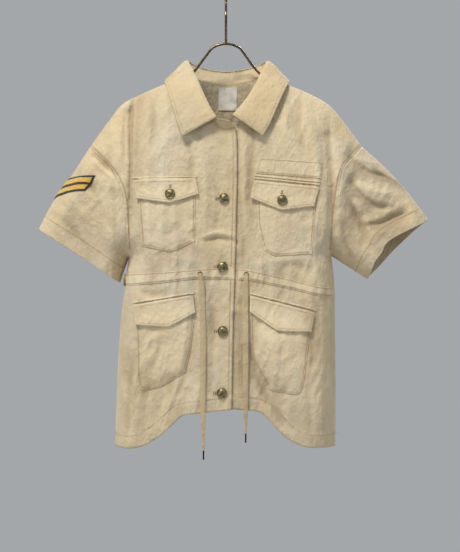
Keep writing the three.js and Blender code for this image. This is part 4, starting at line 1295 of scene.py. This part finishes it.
def build_collar():
    count = round(176 * FINE)
    fold, outer_edge = station_line(FOLD_LINE, count), station_line(OUTER_EDGE, count)
    shares = edge_grid(34)
    down = outer_edge - fold
    length = np.linalg.norm(down, axis=1, keepdims=True)
    down /= length
    along = np.gradient(fold, axis=0)
    along /= np.linalg.norm(along, axis=1, keepdims=True)
    out = np.cross(along, down)
    out /= np.linalg.norm(out, axis=1, keepdims=True)
    if (out * np.stack([fold[:, 0], fold[:, 1], np.full(count, 40.0)], axis=1)).sum() < 0:
        out = -out
    s = shares[None, :]
    number = np.linspace(0, 1, count)[:, None]
    rise = 5.2 * arch(s * 2.2) * (1 - s) + 0.8
    rise = rise + 1.1 * noise(number * 26, s * 3 + 4, 3) * smooth(s * 3) * smooth((1 - s) * 4)
    rise = rise + 0.35 * noise(number * 120, s * 6, 2) * smooth(s * 5) * smooth((1 - s) * 9 + 0.2)
    roll = 2.6 * (1 - arch(s * 12))
    under = fold[:, None] + down[:, None] * (length[:, None] * s[..., None])
    base = under + out[:, None] * (rise - roll)[..., None]
    base[..., 2] += 1.6 * bell(s * 9)
    n = facing(base, np.stack([base[..., 0], base[..., 1], 0 * s + 60 + 0 * base[..., 0]], axis=-1))
    edge = np.minimum.reduce([
        (1 - s) * length, np.minimum(number, 1 - number) * COLLAR_WAY + 0 * s, 0 * s + 60 + 0 * number])
    thick = 2.0 * arch(edge / 2.4 + 0.05)
    top = base + n * thick[..., None]
    seam = np.abs(edge - COLLAR_ROW) + 1.1
    obj = shell("cloth_collar", top, base, COLLAR_CLOTH, attributes={"seam": seam})
    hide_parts("collar")
    way = number[:, 0]
    chosen = (way > 0.012) & (way < 0.988)
    place = 1 - COLLAR_ROW / length[chosen, 0]
    cut = np.interp(place, shares, np.arange(len(shares)))
    low = np.floor(cut).astype(int)
    part = (cut - low)[:, None]
    rows_at = np.arange(count)[chosen]
    points = mix(top[rows_at, low], top[rows_at, np.minimum(low + 1, len(shares) - 1)], part)
    normals = n[rows_at, low]
    add_stitches("collar", points + normals * 0.1, normals)
    for end in (0, count - 1):
        step = 1 if end == 0 else -1
        near = end + step * max(1, round(COLLAR_ROW / COLLAR_WAY * count))
        keep = shares < 0.93
        add_stitches("collar", top[near, keep] + n[near, keep] * 0.1, n[near, keep])


def neck_seam(count_left, count_back, count_right):
    left = at(NECK["left"], np.linspace(0, 1, count_left, endpoint=False))
    back = at(NECK["back"], np.linspace(0, 1, count_back, endpoint=False))
    right = at(NECK["right"][::-1], np.linspace(0, 0.68, count_right))
    faces = (("front", left), ("back", back), ("front", right))
    parts = []
    for face, p in faces:
        y = SIGN[face] * half_depth(p[:, 0], p[:, 1], face)
        parts.append(np.stack([p[:, 0], y, p[:, 1]], axis=1))
    return np.vstack(parts)


def build_stand():
    counts = [round(n * FINE) for n in (60, 60, 44)]
    seam = neck_seam(*counts)
    total = len(seam)
    left_part = at(smooth_line((TAB_TOP + FOLD_LINE)[:8], 24), np.linspace(0, 1, counts[0], endpoint=False))
    back_part = at(smooth_line(FOLD_LINE[5:12], 24), np.linspace(0, 1, counts[1], endpoint=False))
    right_part = at(smooth_line(FOLD_LINE[11:], 24), np.linspace(0, 1, counts[2]))
    fold = np.vstack([left_part, back_part, right_part])
    up = fold - seam
    length = np.linalg.norm(up, axis=1, keepdims=True)
    up /= length
    shares = edge_grid(12)
    place = 0.4 + (length - 0.6) * shares[None, :]
    grid = seam[:, None] + up[:, None] * place[..., None]
    n = facing(grid, np.stack([grid[..., 0], grid[..., 1], 0 * grid[..., 0]], axis=-1))
    number = np.linspace(0, 1, total)[:, None]
    ripple = 0.3 * noise(number * 90, shares[None, :] * 2, 4)
    outer = grid + n * ripple[..., None]
    edge = np.minimum(shares[None, :], 1 - shares[None, :]) * length
    seam_distance = np.abs(edge - 2.5)
    obj = shell("cloth_stand", outer, outer - n * WALL, COLLAR_CLOTH, attributes={"seam": seam_distance})
    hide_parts("collar_stand")


build_collar()
build_stand()
print("collar made")


# %% [markdown]
# The rank patch is embroidered on a black ground and sewn to the left sleeve, where it wraps over
# the outer fold, point down. It could be laid on as a picture, but the satin-stitched bars are
# raised, so each bar is its own thin band. A band is laid out flat, as across and along the sleeve,
# and then set on the sleeve's surface.

# %% Chevron patch
CHEVRON = {"half": 56, "top": (78, 40), "bottom": (125, 74)}
# Columns: name, start and end as shares of the patch's height, lift, cloth
BARS = [("patch_bar_upper", 0.12, 0.42, 1.9, "gold"), ("patch_line", 0.475, 0.535, 1.7, "red"),
        ("patch_bar_lower", 0.59, 0.89, 1.9, "gold")]


def sleeve_point(across, along):
    """Point of the left sleeve's surface: across from the outer fold, along from the drop seam."""
    fold = LINES["left"]["fold"]
    share = along / length_of(fold)
    p = at(fold, share)
    ahead = at(fold, share + 0.01) - at(fold, share - 0.01)
    ahead /= np.linalg.norm(ahead, axis=-1, keepdims=True)
    inward = np.stack([-ahead[..., 1], ahead[..., 0]], axis=-1)
    steps = np.linspace(0, 75, 61)
    result = np.zeros(across.shape + (3,))
    for face, sign in (("front", 1), ("back", -1)):
        q = p[..., None, :] + inward[..., None, :] * steps[:, None]
        y = half_depth(q[..., 0], q[..., 1], face, 0.8)
        y[..., 0] = 0
        run = np.hypot(1, np.diff(y, axis=-1)).cumsum(axis=-1)
        run = np.concatenate([np.zeros(run.shape[:-1] + (1,)), run], axis=-1)
        flat_run, flat_y = run.reshape(-1, len(steps)), y.reshape(-1, len(steps))
        wanted = np.abs(across).ravel()
        d = np.array([np.interp(w, r, steps) for w, r in zip(wanted, flat_run)])
        yy = np.array([np.interp(w, r, v) for w, r, v in zip(wanted, flat_run, flat_y)])
        spot = p + inward * d.reshape(across.shape)[..., None]
        made = np.stack([spot[..., 0], SIGN[face] * yy.reshape(across.shape), spot[..., 1]], axis=-1)
        mask = (across * sign >= 0) if sign > 0 else (across < 0)
        result[mask] = made[mask]
    return result


def chevron_band(name, low, high, lift, thickness, material, margin=0.0):
    across = np.linspace(-CHEVRON["half"] + margin, CHEVRON["half"] - margin, round(60 * FINE))
    share = mix(low, high, edge_grid(8))
    a, w = np.meshgrid(across, share, indexing="ij")
    t = np.abs(a) / CHEVRON["half"]
    along = mix(mix(*CHEVRON["top"], t), mix(*CHEVRON["bottom"], t), w)
    ground = sleeve_point(a, along)
    n = facing(ground, np.stack([ground[..., 0] + 200, ground[..., 1], ground[..., 2] * 0], axis=-1))
    n = n if (n[..., 0].mean() < 0) else -n
    edge = np.minimum.reduce([(w - low) * 40, (high - w) * 40, CHEVRON["half"] - margin - np.abs(a)])
    top = lift + thickness * arch(edge / thickness + 0.05)
    return shell(name, ground + n * top[..., None], ground + n * lift, material)


base_patch = chevron_band("patch_ground", 0, 1, 0.7, 1.1, PATCH_BLACK)
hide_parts("chevron_patch")
for name, low, high, lift, kind in BARS:
    bar = chevron_band(name, low, high, lift - 0.2, 0.8, PATCH_GOLD if kind == "gold" else PATCH_RED, 3.0)
print("chevron patch made")


# %% [markdown]
# The buttons are pressed from sheet metal: a disc with a raised rim and a domed middle. Such a piece
# is the same all round, so it is raised from a circle, step by step, columns radius and height. The
# eyelets are guessed to be metal rings. A buttonhole is a bar of close thread, coloured dark as
# painted shade of its slit.

# %% Buttons and eyelets
BUTTON_STEPS = [
    (7.0, 0.0), (9.2, 0.5), (9.9, 1.3), (10.0, 2.1), (9.7, 2.8), (9.1, 3.2), (8.4, 3.2),
    (7.9, 2.8), (7.4, 2.75), (6.8, 3.3), (5.6, 4.1), (4.2, 4.7), (2.6, 5.0), (1.2, 5.1),
]


def turned_piece(name, steps, material):
    """A closed round piece raised from a disc, step by step."""
    bpy.ops.object.select_all(action="DESELECT")
    bpy.ops.mesh.primitive_circle_add(vertices=40, radius=steps[0][0] * MM, fill_type="NGON")
    obj = bpy.context.object
    bpy.ops.object.mode_set(mode="EDIT")
    bpy.ops.mesh.select_all(action="SELECT")
    for (r0, h0), (r1, h1) in zip(steps[:-1], steps[1:]):
        bpy.ops.mesh.extrude_region_move(TRANSFORM_OT_translate={"value": (0, 0, (h1 - h0) * MM)})
        bpy.ops.transform.resize(value=(r1 / r0, r1 / r0, 1))
    bpy.ops.mesh.select_all(action="SELECT")
    bpy.ops.mesh.normals_make_consistent(inside=False)
    bpy.ops.object.mode_set(mode="OBJECT")
    obj.name = name
    obj.data.materials.append(material)
    for polygon in obj.data.polygons:
        polygon.use_smooth = True
    return obj


def seat_piece(obj, x, z, lift, side, turn=0.0):
    """Stand a piece on a front panel, its own +Z outwards, and keep the place in the mesh."""
    height = front_height(side, 0.45)
    h = 7.0
    slope_x = float(height(x + h, z) - height(x - h, z)) / (2 * h)
    slope_z = float(height(x, z + h) - height(x, z - h)) / (2 * h)
    n = Vector((-slope_x, -1, -slope_z)).normalized()
    place = Vector((x, -float(height(np.float64(x), np.float64(z))), z)) + n * lift
    spin = n.to_track_quat("Z", "Y").to_matrix().to_4x4() @ Matrix.Rotation(turn, 4, "Z")
    obj.data.transform(Matrix.Translation(place * MM) @ spin)
    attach(obj, "root")


# Columns: node, x, z, lift, panel
BUTTONS = [
    ("placket_button_1", -3.6, -420, 1.6, "left"), ("placket_button_2", -6.5, -552, 3.4, "left"),
    ("placket_button_3", -6, -676, 1.6, "left"), ("placket_button_4", -7.7, -794, 1.6, "left"),
    ("flap_button_left", -107, -412, 9.6, "left"), ("flap_button_right", 108, -424, 9.6, "right"),
]
for i, (node, x, z, lift, side) in enumerate(BUTTONS):
    button = turned_piece("metal_" + node, BUTTON_STEPS, BUTTON_METAL)
    seat_piece(button, x, z, lift, side, 0.6 * i)
    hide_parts(node)

EYELETS = {"left": (-49.5, -565.5), "right": (39.5, -566.5)}
for side, (x, z) in EYELETS.items():
    bpy.ops.object.select_all(action="DESELECT")
    bpy.ops.mesh.primitive_torus_add(
        major_radius=3.5 * MM, minor_radius=1.1 * MM, major_segments=32, minor_segments=12)
    ring = bpy.context.object
    ring.name = "metal_eyelet_" + side
    ring.data.materials.append(EYELET_METAL)
    for polygon in ring.data.polygons:
        polygon.use_smooth = True
    seat_piece(ring, x, z, 3.4, side)
    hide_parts("eyelet_" + side)

# Buttonholes: a bar of close thread beside each button, dark as painted shade of its slit, columns x, z,
# length
HOLES = [(-14, -420, 14), (-17, -552, 14), (-16.5, -676, 14), (-18, -794, 14)]
for i, (x, z, size) in enumerate(HOLES):
    line = np.array([(x - size / 2, z), (x + size / 2, z)], float)
    for shift in (-2.4, -1.6, -0.8, 0, 0.8, 1.6, 2.4):
        # The second button lies on the waist channel, so its buttonhole is higher
        lift = 3.4 if i == 1 else 1.3
        plan_row("buttonholes", line + (0, shift), "front", front_height("left"), lift, 2)
for side, x, z in (("left", -107, -399), ("right", 108, -411)):
    for shift in (-1.8, -1.1, -0.4, 0.4, 1.1, 1.8):
        line = np.array([(x + shift, z - 5), (x + shift, z + 6)], float)
        plan_row("buttonholes", line, "front", front_height(side, 0.45), 7.6, 2)
print("buttons and eyelets made")


# %% [markdown]
# The drawcords are flat woven tapes that come out of the eyelets, hang free and are gathered into
# dark tips. They hang almost straight, so each is a strip along given points, a little cupped and
# twisted. Near its tip the strip is kept wider and thicker than the solid, which narrows to 2.8 mm,
# because the measure of the cord needs enough surface there.
# Columns: z, x, width, distance before the panel, as in the solids.

# %% Drawcords
DRAWCORDS = {
    "left": [
        (-564, -49.5, 6, 4.9), (-572, -48.6, 8, 5.4), (-590, -46.5, 10.5, 4.4), (-640, -44.5, 11, 3.4),
        (-700, -43.5, 11, 3.4), (-760, -43.5, 10.5, 4), (-815, -43.5, 10, 5), (-850, -43.3, 9, 4.5),
        (-890, -42.8, 5, 4), (-903, -42.5, 2.8, 4),
    ],
    "right": [
        (-565, 39.5, 6, 4.6), (-573, 39, 8, 5.4), (-590, 38.2, 10.5, 5.2), (-640, 38, 11, 4),
        (-700, 38, 11, 4),
        (-760, 38, 10.5, 4.4), (-815, 38, 9.5, 5), (-858, 38, 5, 4.5), (-871, 38, 2.8, 4.5),
    ],
}
TAPE_THICK = 1.0
LEAST_WIDTH = 4.2
HANGS_FREE = -815.0
TIP_LENGTH, TIP_RADIUS = 17, 1.5


def build_drawcord(side):
    rows = np.array(DRAWCORDS[side], float)
    fine = smooth_line(rows, 12)
    z, x, width, before = fine.T
    width = np.maximum(width, LEAST_WIDTH)
    edge = float(half_depth(rows[0][1], HANGS_FREE, "front", 0))
    on_panel = half_depth(x, z, "front", 0)
    depth = np.where(z < HANGS_FREE, edge + (HANGS_FREE - z) * 0.02, on_panel) + before + 0.6
    twist = 0.1 * np.sin((z + 560) / 55) * smooth((-600 - z) / 60)
    number = np.linspace(-1, 1, 9)
    cup = 0.6 * (1 - number**2)
    half = width[:, None] / 2 * number
    px = x[:, None] + half * np.cos(twist)[:, None]
    py = -depth[:, None] + half * np.sin(twist)[:, None] - cup * (width[:, None] / 11)
    pz = np.repeat(z[:, None], 9, axis=1)
    face = np.stack([px, py, pz], axis=-1)
    thick = TAPE_THICK * (0.4 + 0.6 * np.sqrt(1 - number**2 * 0.9))
    gathered = 1 + 1.6 * smooth((9 - width) / 5)
    back = face + np.array([0, 1, 0]) * (gathered[:, None] * thick[None, :])[..., None]
    seam = np.full(px.shape, FAR_FROM_SEAM)
    strip = shell("tape_drawcord_" + side, face, back, TAPE_CLOTH, attributes={"seam": seam})
    middle = np.stack([x, -depth + TAPE_THICK / 2 - 0.3, z], axis=1)
    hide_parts("drawcord_" + side)
    end = middle[-1]
    bpy.ops.object.select_all(action="DESELECT")
    bpy.ops.mesh.primitive_cylinder_add(
        vertices=20, radius=TIP_RADIUS * MM, depth=TIP_LENGTH * MM, location=tuple((end - (0, 0, 8.7)) * MM))
    tip = bpy.context.object
    bpy.ops.object.transform_apply(location=True, rotation=True, scale=True)
    bevel = tip.modifiers.new("round", "BEVEL")
    bevel.width = 0.5 * MM
    bevel.segments = 3
    bpy.ops.object.modifier_apply(modifier="round")
    tip.name = "tip_" + side
    tip.data.materials.append(AGLET_METAL)
    for polygon in tip.data.polygons:
        polygon.use_smooth = True
    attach(tip, "root")
    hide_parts("aglet_" + side)


for side in SIDES:
    build_drawcord(side)
print("drawcords made")


# %% [markdown]
# The hanger is one bent wire. It is a line with a round section, which is what a wire is. The hook
# lies in the Y-Z plane, and the arms lie under the shoulders, where they can't be seen.

# %% Hanger
WIRE = 2.5
HOOK_CENTRE = -15
HOOK_RADIUS = 17.5


def wire_tube(name, points, steps):
    line = at(smooth_line(points, 16), np.linspace(0, 1, steps))
    curve_data = bpy.data.curves.new(name, "CURVE")
    curve_data.dimensions = "3D"
    curve_data.bevel_depth = WIRE * MM
    curve_data.bevel_resolution = 5
    curve_data.use_fill_caps = True
    spline = curve_data.splines.new("POLY")
    spline.points.add(steps - 1)
    for point, p in zip(spline.points, line * MM):
        point.co = (*p, 1)
    obj = bpy.data.objects.new(name, curve_data)
    bpy.context.scene.collection.objects.link(obj)
    bpy.ops.object.select_all(action="DESELECT")
    bpy.context.view_layer.objects.active = obj
    obj.select_set(True)
    bpy.ops.object.convert(target="MESH")
    obj.data.materials.append(WIRE_METAL)
    for polygon in obj.data.polygons:
        polygon.use_smooth = True
    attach(obj, "root")
    return obj


hook = []
for degrees in range(-30, 205, 18):
    angle = math.radians(degrees)
    hook.append((0, -HOOK_RADIUS * math.cos(angle), HOOK_CENTRE + HOOK_RADIUS * math.sin(angle)))
stem_points = hook + [(0, 4, -40), (0, 0, -52), (0, 0, -75), (0, 0, -106)]
arm_points = [
    (-200, 0, -231.5), (-163, 0, -210), (-122, 0, -192), (-82, 0, -175.5), (-67, 0, -165),
    (-51, 0, -145), (-39, 0, -129),
    (-25, 0, -113), (0, 0, -106), (25, 0, -113), (40, 0, -131), (51, 0, -147), (68, 0, -166), (84, 0, -177.5),
    (124, 0, -194), (168, 0, -213), (199, 0, -234),
]
stem = wire_tube("wire_stem", stem_points, 120)
wire_tube("wire_arms", arm_points, 160)
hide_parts("hanger")
print("hanger made")

# %% [markdown]
# The sizes are estimates.

# %% [markdown]
# All rows of one group become one object, because thousands of single stitches would be slow to
# handle and nobody would move them one by one.

# %% Stitch objects
stitch_objects = finish_stitches()
print("stitch objects:", len(stitch_objects))

# %% [markdown]
# A pale round floor below, an even pale surround, and soft light from the upper left in front, as
# a photographer would set it: one key light that models the folds, and weak ones that open up the
# shadows.

# %% Floor and light
def build_floor():
    bpy.ops.object.select_all(action="DESELECT")
    bpy.ops.mesh.primitive_circle_add(vertices=96, radius=1.15, fill_type="NGON", location=(0, 0, -1.5))
    obj = bpy.context.object
    bpy.ops.object.transform_apply(location=True)
    obj.name = "floor"
    s = Surface("floor", 0.9)
    s.colour(s.ramp(s.noise(1.2, 3), [(0.3, (0.62, 0.63, 0.64)), (0.7, (0.66, 0.67, 0.68))]))
    obj.data.materials.append(s.material)


def area_light(name, place, target, power, size, colour):
    data = bpy.data.lights.new(name, "AREA")
    data.energy = power
    data.size = size
    data.color = colour
    obj = bpy.data.objects.new(name, data)
    bpy.context.scene.collection.objects.link(obj)
    obj.location = place
    obj.rotation_euler = (Vector(target) - Vector(place)).to_track_quat("-Z", "Y").to_euler()


build_floor()
world = bpy.data.worlds.new("studio")
bpy.context.scene.world = world
world.use_nodes = True
world.node_tree.nodes["Background"].inputs["Color"].default_value = (0.93, 0.96, 1.0, 1)
world.node_tree.nodes["Background"].inputs["Strength"].default_value = 0.4
area_light("key", (-0.75, -1.35, 1.95), (0, 0, -0.62), 71, 0.55, (1.0, 0.97, 0.93))
area_light("fill", (1.7, -0.9, 0.1), (0, 0, -0.6), 4, 0.8, (0.9, 0.95, 1.0))
area_light("behind", (0.7, 1.6, 1.2), (0, 0, -0.6), 30, 0.6, (1.0, 0.98, 0.95))
area_light("low_left", (-1.6, -1.3, -0.9), (-0.1, 0, -0.8), 7, 0.9, (0.9, 0.95, 1.0))
bpy.context.scene.view_settings.view_transform = "Standard"
print("lights:", len(bpy.data.lights))
